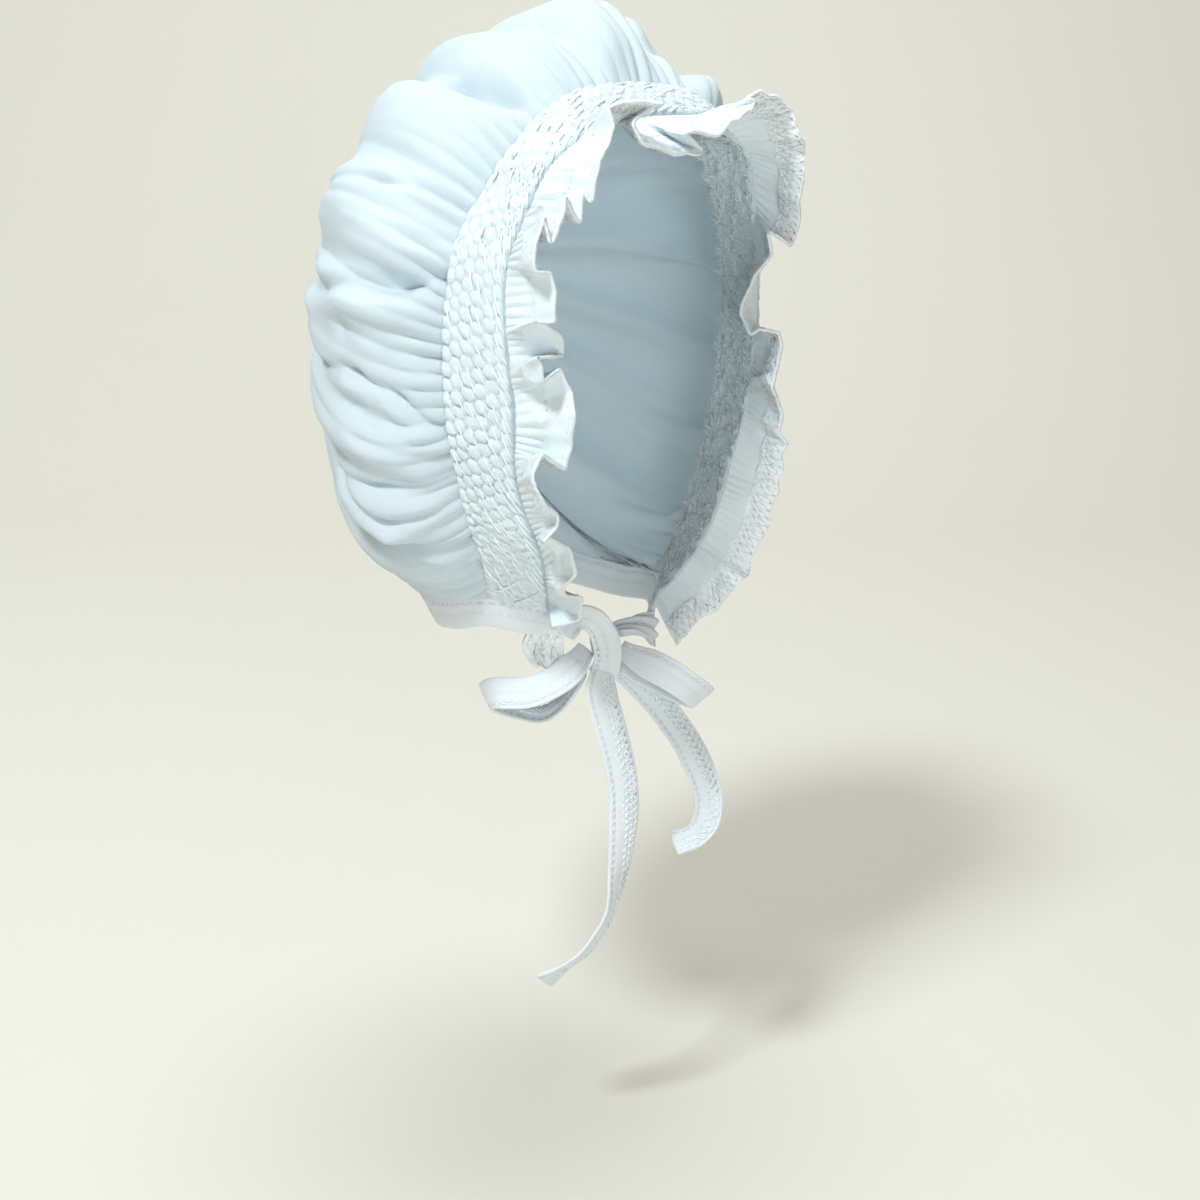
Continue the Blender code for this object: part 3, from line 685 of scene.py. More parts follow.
def crown_surface():
    """Points of the middle of the crown's cloth, their UV map, and the gathered centre."""
    front, length = evenly(seam_curve, ARCH_LAST, CROWN_FRONT_COLUMNS)
    neck, neck_length = evenly(neck_curve, NECK_LAST, CROWN_NECK_COLUMNS)
    mouth = np.concatenate([seam_curve(front[:-1]), neck_curve(neck[:-1])])
    pleat = np.concatenate([np.linspace(0, length, CROWN_FRONT_COLUMNS + 1)[:-1],
                            length + np.linspace(0, neck_length, CROWN_NECK_COLUMNS + 1)[:-1]])
    total = length + neck_length
    pleat *= round(total / PLEAT_PITCH) / total
    reach = mouth - CROWN_MIDDLE
    start = unit(reach)
    polar = np.arccos(start @ GATHER_AXIS)[:, None]
    turn = np.arctan2(start[:, 0], start @ GATHER_UP)[:, None]
    tuck = (1.0 - np.linalg.norm(reach, axis=1) / dome_radius(start))[:, None]
    share = ((np.arange(CROWN_FINE_ROWS) / (CROWN_FINE_ROWS - 1) * 0.994) ** 1.25)[None, :]
    bend = polar * (1.0 - share)
    ring = GATHER_UP * np.cos(turn)[..., None] + SIDE * np.sin(turn)[..., None]
    direction = GATHER_AXIS * np.cos(bend)[..., None] + ring * np.sin(bend)[..., None]
    radius = dome_radius(direction)
    run = radius * (polar - bend)
    dimple = CENTRE_DIMPLE * np.exp(-(radius * bend / CENTRE_DIMPLE_REACH) ** 2)
    radius = radius * (1.0 - tuck * np.exp(-(run / PUFF_REACH) ** 1.2))
    turn = turn + np.zeros_like(share)
    wander = 0.05 * (clouds(run / 0.02, turn * 3.0, seed=3) - 0.5)
    cos, sin = np.cos(turn + wander), np.sin(turn + wander)
    angle = np.degrees(turn)
    radius = radius + fold_height(angle, np.broadcast_to(share, angle.shape)) - dimple
    radius = radius + crease_height(angle, run) + swell_height(angle, run)

    # pleats leave the stitching one by one and join into bunches
    number = pleat[:, None] + 0.35 * (clouds(pleat[:, None] / 2.3, run / 0.012, seed=5) - 0.5)
    strength = 0.6 + 0.8 * scatter(np.floor(pleat + 0.5), seed=7)[:, None]
    ridge = np.abs(np.cos(math.pi * number)) ** 0.7 - 0.55
    near = step(run, -0.001, 0.0015) * np.exp(-run / (PLEAT_REACH * strength))
    radius = radius + PLEAT_DEPTH * strength * ridge * near
    bunch = clouds(cos * 16.0 + 40.0, sin * 16.0 + 40.0, run / 0.03, seed=11)
    bunch = 0.75 - np.abs(2.0 * bunch - 1.0) * 1.5
    middle = step(run, 0.0, 0.008) * np.exp(-(run / BUNCH_REACH) ** 1.3)
    radius = radius + BUNCH_DEPTH * bunch * middle
    wrinkle = clouds(cos * WRINKLES_ROUND + 20.0, sin * WRINKLES_ROUND + 20.0,
                     run / WRINKLE_LENGTH, seed=13)
    wrinkle = (1.0 - np.abs(2.0 * wrinkle - 1.0)) ** 3
    far = step(run, 0.006, 0.025)
    radius = radius - WRINKLE_DEPTH * wrinkle * far * step(bend * radius, 0.004, 0.020)
    fine = clouds(cos * 22.0 + 60.0, sin * 22.0 + 60.0, run / 0.014, seed=17) - 0.5
    radius = radius + CRUMPLE_DEPTH * fine * far
    # the gathered centre at the back
    spokes = np.cos(turn * SPOKES) * np.exp(-((radius * bend - SPOKE_REACH) / SPOKE_REACH) ** 2)
    radius = radius + SPOKE_HEIGHT * spokes
    points = CROWN_MIDDLE + direction * radius[..., None]
    uvs = cloth_map(turn * CROWN_MAP_RADIUS, run + CROWN_MAP_START)
    centre = CROWN_MIDDLE + GATHER_AXIS * (dome_radius(GATHER_AXIS[None])[0] - CENTRE_DIMPLE)
    return points, uvs, centre


def crown_half(name, points, uvs, centre, flip):
    """One side of the crown's cloth as an open dome, closed at the gathered centre."""
    columns, rows = points.shape[:2]
    flat = np.concatenate([points.reshape(-1, 3), centre[None]])
    faces = [tuple(f) for f in grid_faces(columns, rows, True, flip=flip)]
    tip = columns * rows
    for i in range(columns):
        k = (i + 1) % columns
        ring = (i * rows + rows - 1, tip, k * rows + rows - 1)
        faces.append(ring[::-1] if flip else ring)
    return add_piece(name, flat, faces, np.concatenate([uvs.reshape(-1, 2), [[0.0, CROWN_MAP_END]]]))


def sew_crown():
    points, uvs, centre = crown_surface()
    normals = grid_normals(points, True)
    outward = np.sign(((points - CROWN_MIDDLE) * normals).sum())
    normals = normals * outward
    tuck = np.clip(1.0 - np.arange(3) / 3.0, 0.0, 1.0)[None, :, None] * SEAM_UNDER
    points[:, :3] -= unit(points[:, 3:4] - points[:, :1]) * tuck
    outer = crown_half("crown_cloth", points + normals * LAWN, uvs, centre + GATHER_AXIS * LAWN, outward < 0)
    inside = points[::2, ::2] - normals[::2, ::2] * LAWN
    inner = crown_half("crown_inside", inside, uvs[::2, ::2], centre - GATHER_AXIS * LAWN, outward > 0)
    return outer, inner


# The smocked band

SMOCK_COLUMNS = 800
SMOCK_ROWS = 49
CELL_PITCH = 0.0037
CELL_ROWS = 6
PUFF_HEIGHT = 0.0014
BAND_CUSHION = 0.0010
BAND_CLOTH = 0.0012
CELL_TALL = 0.78
BAND_SINK = 0.0003
FAN_SHARE = 0.72
FRAY = 0.00014
FRAY_COUNT = 2000
FRAY_LENGTH = 0.0012
FRAY_SPREAD = 0.0030
CURL = 0.00017
CURL_COUNT = 2600
CURL_LENGTH = 0.0010
CURL_SPREAD = 0.0013
CURL_LIFT = 0.00045
THREAD = 0.00023
FAN_START = 0.055
# Columns of long strands over the puffs: share across the band, pitch, and how many are missing
STRANDS = [
    (0.16, 0.0090, 0.50),
    (0.33, 0.0084, 0.35),
    (0.50, 0.0080, 0.25),
    (0.67, 0.0070, 0.20),
    (0.82, 0.0060, 0.12),
    (0.93, 0.0040, 0.06),
]
STRAND_LENGTH = 0.0050
STRAND_SPREAD = 0.0024
# Strands that cross near both ends of the band: way from the end, length, and shares across the
# band from and to
CROSSED = [
    (0.004, 0.011, 0.10, 0.62),
    (0.005, 0.010, 0.60, 0.16),
    (0.003, 0.008, 0.50, 0.93),
    (0.004, 0.008, 0.92, 0.52),
]
CROSSED_LIFT = 0.0006


def smock_frame(places):
    """Seam and rim of the band, and the way out of it, at places round the arch."""
    seam, rim = arch(places)
    line = unit(rim - seam)
    seam, rim = seam + line * GAP, rim - line * GAP
    outward = unit(np.stack([seam[..., 0], np.zeros_like(seam[..., 0]),
                             seam[..., 2] - CROWN_MIDDLE[2]], -1))
    return seam, rim, outward


def smock_height(s, t, length):
    """Height of the honeycomb at a way along the band and a share across it."""
    s, t = np.broadcast_arrays(np.asarray(s, float), np.asarray(t, float))
    end = np.minimum(s, length - s)
    fan = 1.0 - step(end, 0.010, FAN_START)
    along = (s + 0.0011 * (clouds(s / 0.012, t * 2.0, seed=23) - 0.5)) / CELL_PITCH
    row = t * CELL_ROWS + 0.30 * (clouds(s / 0.015, t * 3.0, seed=24) - 0.5)
    first, second = np.full(s.shape, 9.0), np.full(s.shape, 9.0)
    luck = np.zeros(s.shape)
    for up in (-1, 0, 1):
        level = np.floor(row) + up
        shift = 0.5 * np.mod(level, 2.0)
        for over in (-1, 0, 1):
            cell = np.floor(along - shift + 0.5) + over
            beside = along - cell - shift - 0.24 * (scatter(cell, level, seed=29) - 0.5)
            above = row - level - 0.5 - 0.26 * (scatter(cell, level, seed=30) - 0.5)
            away = np.hypot(beside, above * CELL_TALL)
            nearer = away < first
            second = np.where(nearer, first, np.minimum(second, away))
            luck = np.where(nearer, scatter(cell, level, seed=31), luck)
            first = np.where(nearer, away, first)
    groove = np.clip((second - first) / (0.22 + 0.14 * luck), 0.0, 1.0)
    puff = np.sqrt(1.0 - (1.0 - groove) ** 2) * (1.0 - 0.9 * np.minimum(first, 0.5) ** 2)
    cells = puff * (0.72 + 0.42 * luck) * (1.0 - 0.25 * step(t, 0.62, 1.0))
    lean = s + 0.005 * (t - 0.5) * np.sign(length / 2 - s)
    reed = lean / (CELL_PITCH * 0.60) + 0.32 * np.sin(row * math.pi + s / 0.0045)
    pleats = np.abs(np.cos(math.pi * reed)) ** 0.55 * (0.55 + 0.45 * np.cos(math.pi * row) ** 2)
    crumb = 0.10 * (clouds(s / 0.0011, t * 14.0, seed=32) - 0.5)
    return PUFF_HEIGHT * ((1.0 - fan * FAN_SHARE) * cells + fan * FAN_SHARE * pleats + crumb)


def sew_smocked_band():
    places, length = evenly(rim_curve, ARCH_LAST, SMOCK_COLUMNS - 1)
    seam, rim, outward = smock_frame(places)
    s = np.linspace(0.0, length, SMOCK_COLUMNS)[:, None]
    t = np.linspace(0.0, 1.0, SMOCK_ROWS)[None, :]
    middle = seam[:, None] * (1.0 - t[..., None]) + rim[:, None] * t[..., None]
    edge = step(t, 0.0, 0.06) * (1.0 - step(t, 0.94, 1.0))
    ends = step(s, 0.0, 0.0015) * (1.0 - step(s, length - 0.0015, length))
    cushion = BAND_CUSHION * np.sin(math.pi * t)
    high = cushion + smock_height(s, t, length) * edge * ends
    outer = middle + outward[:, None] * (high + BAND_CLOTH / 2 - BAND_SINK)[..., None]
    crumple = clouds(s / 0.0021, t * 7.0, seed=37) + 0.6 * clouds(s / 0.0009, t * 17.0, seed=41)
    low = -BAND_CLOTH / 2 + cushion * 0.5 - 0.0013 * (crumple - 0.4) * edge * ends
    inner = middle + outward[:, None] * low[..., None]
    uvs = cloth_map(t * BAND_WIDTH, s)
    # The share kept clear of painted shade: full on the puffs' tops, none in the grooves between them, and
    # 0.7 over the whole wrong side. The finish paints shade into the grooves and a little over the wrong
    # side.
    outside = np.broadcast_to(step(high - cushion, 0.0, PUFF_HEIGHT * 0.8), high.shape)
    piece = two_sided("smocking", outer, inner, uvs, {"unshaded_share": (outside, np.full(high.shape, 0.7))})
    return piece, curls(inner)


def on_smocking(s, t, length, lift):
    places = np.interp(s, np.linspace(0.0, length, 1500), evenly(rim_curve, ARCH_LAST, 1499)[0])
    seam, rim, outward = smock_frame(places)
    height = BAND_CUSHION * np.sin(math.pi * t) + smock_height(s, t, length)
    base = seam * (1.0 - t[:, None]) + rim * t[:, None]
    return base + outward * (height + BAND_CLOTH / 2 - BAND_SINK + lift)[:, None]


def embroider():
    """Long slanting strands that lie over the puffs, and the crossed ones above the neck band."""
    _, length = evenly(rim_curve, ARCH_LAST, 400)
    routes = []
    share = np.linspace(0.0, 1.0, 8)
    arc = 1.0 - np.abs(2.0 * share - 1.0) ** 2.6
    for column, (level, pitch, skip) in enumerate(STRANDS):
        for k in range(int(length / pitch)):
            luck, chance = scatter(k, column, seed=43), scatter(k, column, seed=44)
            start = (k + 0.37 * column + 0.3 * luck) * pitch
            run = STRAND_LENGTH + STRAND_SPREAD * luck
            if chance < skip or not 0.003 < start < length - run - 0.003:
                continue
            mirror = 1.0 if start < length / 2 else -1.0
            t = np.clip(level - mirror * (0.11 + 0.05 * luck) * (share - 0.5), 0.02, 0.985)
            s = start + run * share
            high = smock_height(s, t, length)
            level_line = high.max() * 0.72 + 0.28 * high
            lift = (level_line - high) * arc + THREAD * (0.9 * arc - 0.6)
            routes.append(on_smocking(s, t, length, lift))
    for start, span, low, high in CROSSED:
        for s in (start + span * share, length - start - span * share):
            lift = CROSSED_LIFT - CROSSED_LIFT * np.abs(2.0 * share - 1.0) ** 4
            routes.append(on_smocking(s, low + (high - low) * share, length, lift))
    return tubes("smocking_threads", routes, THREAD, sides=6, taper=0.7)


def fray():
    """Cut ends of cloth and thread that stand out along the band's inside edge."""
    places, _ = evenly(rim_curve, ARCH_LAST, FRAY_COUNT)
    seam, rim, outward = smock_frame(places)
    routes = []
    share = np.linspace(0.0, 1.0, 4)[:, None]
    for k in range(1, FRAY_COUNT):
        back = scatter(k, seed=47)
        tuft = clouds(k / 9.0, 0.0, seed=48)
        long = FRAY_LENGTH + FRAY_SPREAD * tuft * scatter(k, seed=53)
        skew = scatter(k, seed=59) - 0.5
        along = unit(rim[k] - rim[k - 1])
        away = unit(seam[k] - rim[k])
        root = seam[k] * (1 - 0.10 * back) + rim[k] * 0.10 * back - outward[k] * (0.0006 + 0.0008 * back)
        curl = away * share - outward[k] * share * (0.1 + 0.7 * back) + along * skew * 1.3 * share ** 2
        routes.append(root + curl * long)
    return tubes("smocking_fray", routes, FRAY, sides=3, taper=0.4)


def curls(inner):
    """Loose curls of thread over the band's crumpled wrong side."""
    routes = []
    turn = np.linspace(0.0, 1.0, 5)[:, None]
    columns, rows = inner.shape[:2]
    for k in range(CURL_COUNT):
        i = 3 + int(scatter(k, seed=61) * (columns - 8))
        j = 2 + int(scatter(k, seed=62) * (rows - 5))
        spot = inner[i, j]
        along, across = unit(inner[i + 2, j] - spot), unit(inner[i, j + 1] - spot)
        inward = np.cross(along, across)
        inward = inward * np.sign(inward @ (CROWN_MIDDLE - spot))
        heading = math.tau * scatter(k, seed=63)
        ahead = along * math.cos(heading) + across * math.sin(heading)
        beside = across * math.cos(heading) - along * math.sin(heading)
        long = CURL_LENGTH + CURL_SPREAD * scatter(k, seed=64)
        bend = (scatter(k, seed=65) - 0.5) * 1.6
        route = spot + (ahead * (turn - 0.5) + beside * bend * turn * (1.0 - turn)) * long
        routes.append(route + inward * (CURL_LIFT * np.sin(math.pi * turn) + 0.00002))
    return tubes("smocking_curls", routes, CURL, sides=4, taper=0.5)


# The ruffle

RIM_STEPS = 900
HEM_STEP = 0.00042
FOLD_ROUND = 0.00085
RUFFLE_FINE_ROWS = 27
RUFFLE_CLOTH = 0.0005
HEM_DEPTH = 0.0075
HEM_EXTRA = 0.00035
HEM_EDGE = 0.0002
PLEAT_ROOT = 0.0021
ROOT_UNDER = 0.0010
# How far the ruffle's cloth sways out in its small pleats, its ripples, its crumpling and its bow
PLEAT_SWAY = 0.0005
RIPPLE_SWAY = 0.0017
CRUMPLE_SWAY = 0.0005
BOW_SWAY = 0.0008
HEM_STITCH_DEPTHS = (0.0012, 0.0068)
HEM_STITCH_PITCH = 0.0021
HEM_STITCH_LENGTH = 0.0015
HEM_THREAD = 0.00013
COVER_STRANDS = 3
COVER_OVERLAP = 1.25
COVER_STEPS = 240
# Chains of thread over the hem's wrong side and the ruffle's end: share across from and to,
# pitch, swing, radius and lift
HEM_CHAINS = ((0.60, 0.93), 0.0024, 0.0004, 0.00013, 0.00012)
END_CHAINS = ((0.15, 0.92), 0.0022, 0.0004, 0.00016, 0.00012)

# Round the ruffle from its right chin end over the top to its left chin end: the way along the
# rim where a fold is gathered, and the fold's place on the hem as the way along from there, the
# way forward and the way outward, all in millimetres
HEM = [
    # gathered, along, forward, outward
    (0, 9, 6.5, 8.5),
    (3, 5, 11.5, 1.0),
    (8, 7, 11.0, -0.5),
    (11, 9, 9.0, 3.5),
    (14, 10, 9.5, 4.5),
    (18, 9, 12.0, 1.0),
    (22, 11, 11.5, 0.5),
    (27, 12, 11.0, 4.0),
    (30, 9, 10.5, 6.5),
    (34, 8, 12.5, 2.0),
    (38, 7, 12.5, 1.0),
    (43, 6, 12.5, 4.0),
    (50, 8, 11.0, 6.5),
    (57, 6, 12.0, 3.0),
    (60, -4, 13.0, -4.5),
    (63, -1, 13.5, -6.0),
    (67, 3, 15.0, -5.5),
    (71, 3, 12.5, -7.5),
    (74, 6, 12.0, -5.0),
    (77, 1, 12.0, 1.0),
    (80, 5, 12.5, 3.0),
    (83, 0, 11.0, -7.5),
    (87, 2, 14.5, -4.0),
    (89, 5, 13.0, 3.5),
    (92, 1, 15.5, -1.0),
    (98, 4, 15.5, 0.0),
    (103, 4, 15.0, 1.5),
    (105, 1, 14.0, 5.0),
    (108, 5, 13.0, 7.5),
    (112, 7, 13.0, 7.5),
    (114, 0, 14.5, 4.0),
    (117, 5, 14.5, 3.5),
    (118, 7, 14.0, 5.0),
    (120, 1, 14.0, -3.5),
    (123, 6, 12.5, -1.0),
    (126, 1, 14.5, -4.5),
    (132, 3, 14.5, 1.0),
    (139, 3, 13.5, 5.5),
    (143, 0, 12.0, 9.5),
    (147, 3, 13.5, 8.0),
    (151, 6, 14.0, 5.5),
    (154, -6, 13.0, 3.0),
    (156, -7, 14.0, -2.5),
    (159, 10, 13.5, -8.5),
    (161, 12, 13.0, -8.0),
    (163, 2, 15.0, -4.0),
    (165, -3, 15.5, -2.5),
    (172, 5, 14.5, -3.5),
    (176, 4, 15.5, 0.0),
    (182, 8, 13.5, 3.0),
    (185, 6, 13.5, 6.0),
    (187, 2, 12.5, 6.0),
    (191, 3, 11.5, 9.5),
    (195, 6, 10.5, 11.0),
    (200, 8, 10.5, 11.5),
    (205, 7, 13.0, 6.5),
    (208, 6, 12.0, 8.5),
    (212, 6, 13.5, 4.5),
    (219, 6, 13.5, 2.0),
    (225, 8, 12.5, 3.0),
    (230, 8, 13.5, -2.5),
    (233, -3, 10.5, -8.5),
    (238, 2, 11.0, -7.5),
    (244, 4, 8.5, -12.5),
    (250, 6, 5.5, -13.5),
    (255, 5, 5.0, -13.5),
    (260, 6, 7.5, -12.5),
    (263, 1, 9.0, -11.5),
    (266, -1, 12.5, -6.0),
    (269, 0, 13.5, -5.5),
    (274, 4, 13.0, -7.5),
    (277, 4, 13.5, -5.0),
    (279, -4, 11.5, -8.5),
    (284, 3, 14.0, -1.0),
    (288, 4, 12.5, 1.0),
    (291, 3, 14.0, 5.0),
    (295, 3, 12.5, 5.5),
    (299, 3, 13.0, 8.5),
    (303, 3, 12.0, 8.5),
    (307, 2, 12.0, 11.0),
    (312, 2, 10.5, 10.5),
    (317, 2, 11.0, 12.5),
    (323, 3, 10.5, 10.5),
    (328, 3, 12.5, 11.0),
    (332, 0, 14.5, 7.0),
    (335, 4, 11.5, 9.5),
    (341, 1, 12.5, 9.0),
    (345, 2, 10.5, 8.5),
    (349, 1, 12.0, 7.0),
    (352, 5, 10.0, 9.0),
]


def rim_frame():
    """Ways along the rim, its points there, and the directions along, forward and outward."""
    places, length = evenly(rim_curve, ARCH_LAST, RIM_STEPS)
    rim = rim_curve(places)
    along = unit(np.gradient(rim, axis=0))
    forward = np.array((0.0, -1.0, 0.0))
    forward = unit(forward - along * (along @ forward)[:, None])
    return np.linspace(0.0, length, RIM_STEPS + 1), rim, along, forward, np.cross(forward, along)


def on_rim(frame, way):
    """The rim's points and directions at ways along it, carried straight on past its ends."""
    runs = frame[0]
    inside = np.clip(way, 0.0, runs[-1])
    rim, along, forward, outward = [read_line(inside, runs, grid) for grid in frame[1:]]
    return rim + along * (way - inside)[:, None], forward, outward


def soften(line, reach):
    """A finely stepped line with its corners rounded."""
    pad = int(3 * reach / HEM_STEP)
    kernel = np.exp(-(np.arange(-pad, pad + 1) * HEM_STEP / reach) ** 2)
    kernel /= kernel.sum()
    longer = np.concatenate([2 * line[:1] - line[pad:0:-1], line, 2 * line[-1:] - line[-2:-pad - 2:-1]])
    return np.stack([np.convolve(longer[:, c], kernel, "valid") for c in range(line.shape[1])], -1)


def sew_ruffle():
    frame = rim_frame()
    rows = np.array(HEM, float) / MM_PER_METRE
    rows[:, :2] *= frame[0][-1] / rows[-1, 0]
    rim, forward, outward = on_rim(frame, rows[:, 0] + rows[:, 1])
    hem = rim + forward * rows[:, 2:3] + outward * rows[:, 3:4]
    run = run_along(hem)
    at = np.linspace(0.0, run[-1], int(run[-1] / HEM_STEP))
    gathered = soften(np.interp(at, run, rows[:, 0])[:, None], 3.0 * FOLD_ROUND)[:, 0]
    hem = soften(read_line(at, run, hem), FOLD_ROUND)
    root, forward, outward = on_rim(frame, gathered)
    root = root - forward * ROOT_UNDER
    share = np.linspace(0.0, 1.0, RUFFLE_FINE_ROWS)[None, :]
    flow = (share + 0.06 * np.sin(math.tau * share))[..., None]
    point = root[:, None] * (1.0 - flow) + hem[:, None] * flow
    # small pleats at the gathers, and the soft crumpling of thin cotton
    pleat = np.abs(np.cos(math.pi * (gathered[:, None] / PLEAT_ROOT + 0.4 * np.sin(at[:, None] / 0.005))))
    pleat = (pleat - 0.6) * np.exp(-((share - 0.12) / 0.36) ** 2) * step(share, 0.0, 0.06)
    spread = 0.4 + 1.2 * clouds(at[:, None] / 0.009, share * 0.0, seed=70)
    ripple = (clouds(at[:, None] / 0.006, share * 2.5, seed=71) - 0.5) * step(share, 0.1, 0.6)
    crumple = (clouds(at[:, None] / 0.0025, share * 6.0, seed=72) - 0.5) * step(share, 0.05, 0.4)
    bow = np.sin(math.pi * share) * np.sin(at[:, None] / 0.0041) * 0.5
    sway = PLEAT_SWAY * pleat * spread + RIPPLE_SWAY * ripple + CRUMPLE_SWAY * crumple + BOW_SWAY * bow
    point = point + outward[:, None] * sway[..., None]
    normals = grid_normals(point, False)
    normals = normals * np.sign((normals * outward[:, None]).sum())
    turned = RUFFLE_DEPTH - HEM_DEPTH
    hemmed = step(share * RUFFLE_DEPTH, turned - HEM_EDGE, turned + HEM_EDGE)
    outer = point + normals * RUFFLE_CLOTH / 2
    inner = point - normals * (RUFFLE_CLOTH / 2 + HEM_EXTRA * hemmed)[..., None]
    edge = run_along(point[:, -1])
    uvs = cloth_map(share * RUFFLE_DEPTH, edge[:, None])
    looped = np.broadcast_to(hemmed, sway.shape)
    piece = two_sided("ruffle_cloth", outer, inner, uvs, {"looped": (0.0 * looped, looped)})
    return piece, point, normals


def sew_ruffle_end():
    """The ruffle's end, turned in under the neck band beside the bow."""
    u = np.linspace(0.0, 1.0, END_COLUMNS)[:, None]
    v = np.linspace(0.0, 1.0, END_ROWS)[None, :]
    left = END_LEFT + END_LOBE * np.abs(2.0 * (v - 0.45)) ** 2.2
    a = left + (END_RIGHT - left) * u
    h = END_TOP - v * (END_DROP + 0.0025 * u) - 0.0010 * (1.0 - u) ** 4
    crumple = clouds(u * 7.0, v * 5.0, seed=77) - 0.5
    wave = END_WAVE * np.sin(math.tau * (1.6 * u + 0.35 * v)) + END_WAVE * crumple
    o = END_BACK + END_TURN * (1.0 - step(v, 0.1, 0.7)) + wave * step(v, 0.1, 0.4)
    point = from_knot(a, o, h)
    normals = grid_normals(point, False)
    normals = normals * np.sign((normals * BOW_OUT).sum())
    uvs = cloth_map(v * END_DROP, u * (END_RIGHT - END_LEFT))
    full = np.ones(h.shape)
    face, behind = point + normals * RUFFLE_CLOTH, point - normals * RUFFLE_CLOTH
    piece = two_sided("ruffle_end", face, behind, uvs, {"looped": (full, full)})
    face_outward(piece)
    return piece, face, normals


def hem_stitches(point, normals):
    """Two rows of short stitches that hold the ruffle's hem, seen on its right side."""
    routes = []
    for depth in HEM_STITCH_DEPTHS:
        row = (RUFFLE_FINE_ROWS - 1) * (1.0 - depth / RUFFLE_DEPTH)
        low = int(row)
        line = point[:, low] * (1 - row + low) + point[:, low + 1] * (row - low)
        face = normals[:, low]
        run = run_along(line)
        for start in np.arange(0.002, run[-1] - 0.003, HEM_STITCH_PITCH):
            at = start + np.linspace(0.0, HEM_STITCH_LENGTH, 4)
            p = read_line(at, run, line)
            n = read_line(at, run, face)
            lift = RUFFLE_CLOTH / 2 + np.array((-0.0001, 0.00008, 0.00008, -0.0001))
            routes.append(p + n * lift[:, None])
    return tubes("ruffle_stitches", routes, HEM_THREAD, sides=4, taper=0.6)


def cut_thread(route, steps):
    """A long thread in lengths that meet end to end."""
    return [route[start:start + steps + 1] for start in range(0, len(route) - 2, steps)]


def cover_stitches(name, point, normals, rows, pitch, swing, radius, lift):
    """Loops of thread that zigzag along the wrong side of a cloth between two of its rows."""
    routes = []
    low, high = rows
    last = point.shape[1] - 1
    for strand in range(COVER_STRANDS):
        a = low + (high - low) * strand / COVER_STRANDS
        b = a + (high - low) / COVER_STRANDS * COVER_OVERLAP
        run = run_along(point[:, -1])
        places = np.arange(0.001, run[-1] - 0.001, pitch / 6)
        index = np.interp(places, run, np.arange(len(run)))
        wave = 0.5 + 0.5 * np.sin(math.tau * places / pitch + strand * 2.1)
        jitter = scatter(np.floor(places / pitch), strand, seed=73) * 0.15
        row = np.clip((a + (b - a) * wave + jitter * (b - a)) * last, 0, last - 0.01)
        i, j = index.astype(int), row.astype(int)
        i = np.minimum(i, len(run) - 2)
        fi, fj = (index - i)[:, None], (row - j)[:, None]

        def pick(grid):
            lower = grid[i, j] * (1 - fj) + grid[i, j + 1] * fj
            upper = grid[i + 1, j] * (1 - fj) + grid[i + 1, j + 1] * fj
            return lower * (1 - fi) + upper * fi
        beat = np.sin(2.0 * math.tau * places / pitch)[:, None]
        route = pick(point) - pick(normals) * (lift + radius * 0.8 * beat)
        route = route + unit(np.gradient(route, axis=0)) * (swing * beat)
        routes += cut_thread(route, COVER_STEPS)
    return tubes(name, routes, radius, sides=3, taper=0.9)


# Neck band and ties: soft folded tape with two rows of stitches near one edge

TAPE_RING = 0.0006
TAPE_SIDES = 44
TAPE_HALF = 0.00075
STITCH_ROWS = (0.16, 0.46)
STITCH_PITCH = 0.0024
STITCH_LENGTH = 0.0017
STITCH_RADIUS = 0.00024
STITCH_SINK = 0.00046
STITCH_GROOVE = 0.04
LOOP_PITCH = 0.0023
TAIL_HEM = 0.0065
BINDING_DROP = 0.0007
BINDING_EXTRA = 0.0004
WRAP_WIDTH = 0.0078
GATHERED_WIDTH = 0.0105
GATHERED_END = 0.75
GATHER_DEPTH = 0.0010
GATHERS = 2.6
GATHER_TWIST = 20.0
HEM_SWELL = 0.35
TAPE_CRUMPLE = 0.0004
CHAIN_STRANDS = 3
CHAIN_STEPS = 200
CHAIN_LIFT = 0.00014
CHAIN_BOB = 0.00013
CHAIN_SWING = 0.0004


# The ties: node, route, whether the tie starts with its face outward, side of its stitched edge,
# and the share of its wrong side with chains of thread
TIES = [
    ("tie_right", RIGHT_TIE_ROUTE, True, 1.0, 0.0),
    ("tie_left", LEFT_TIE_ROUTE, False, 1.0, 0.0),
    ("bow_loop_right", RIGHT_LOOP_ROUTE, True, -1.0, 0.0),
    ("bow_loop_left", LEFT_LOOP_ROUTE, True, -1.0, 0.45),
    ("tail_long", LONG_TAIL_ROUTE, True, 1.0, 0.50),
    ("tail_short", SHORT_TAIL_ROUTE, True, 1.0, 0.50),
]


def tape_height(share):
    """Height of a tape's soft profile at a share of the way across it."""
    return (1.0 - np.abs(1.0 - 2.0 * share) ** 2.667) ** 0.275


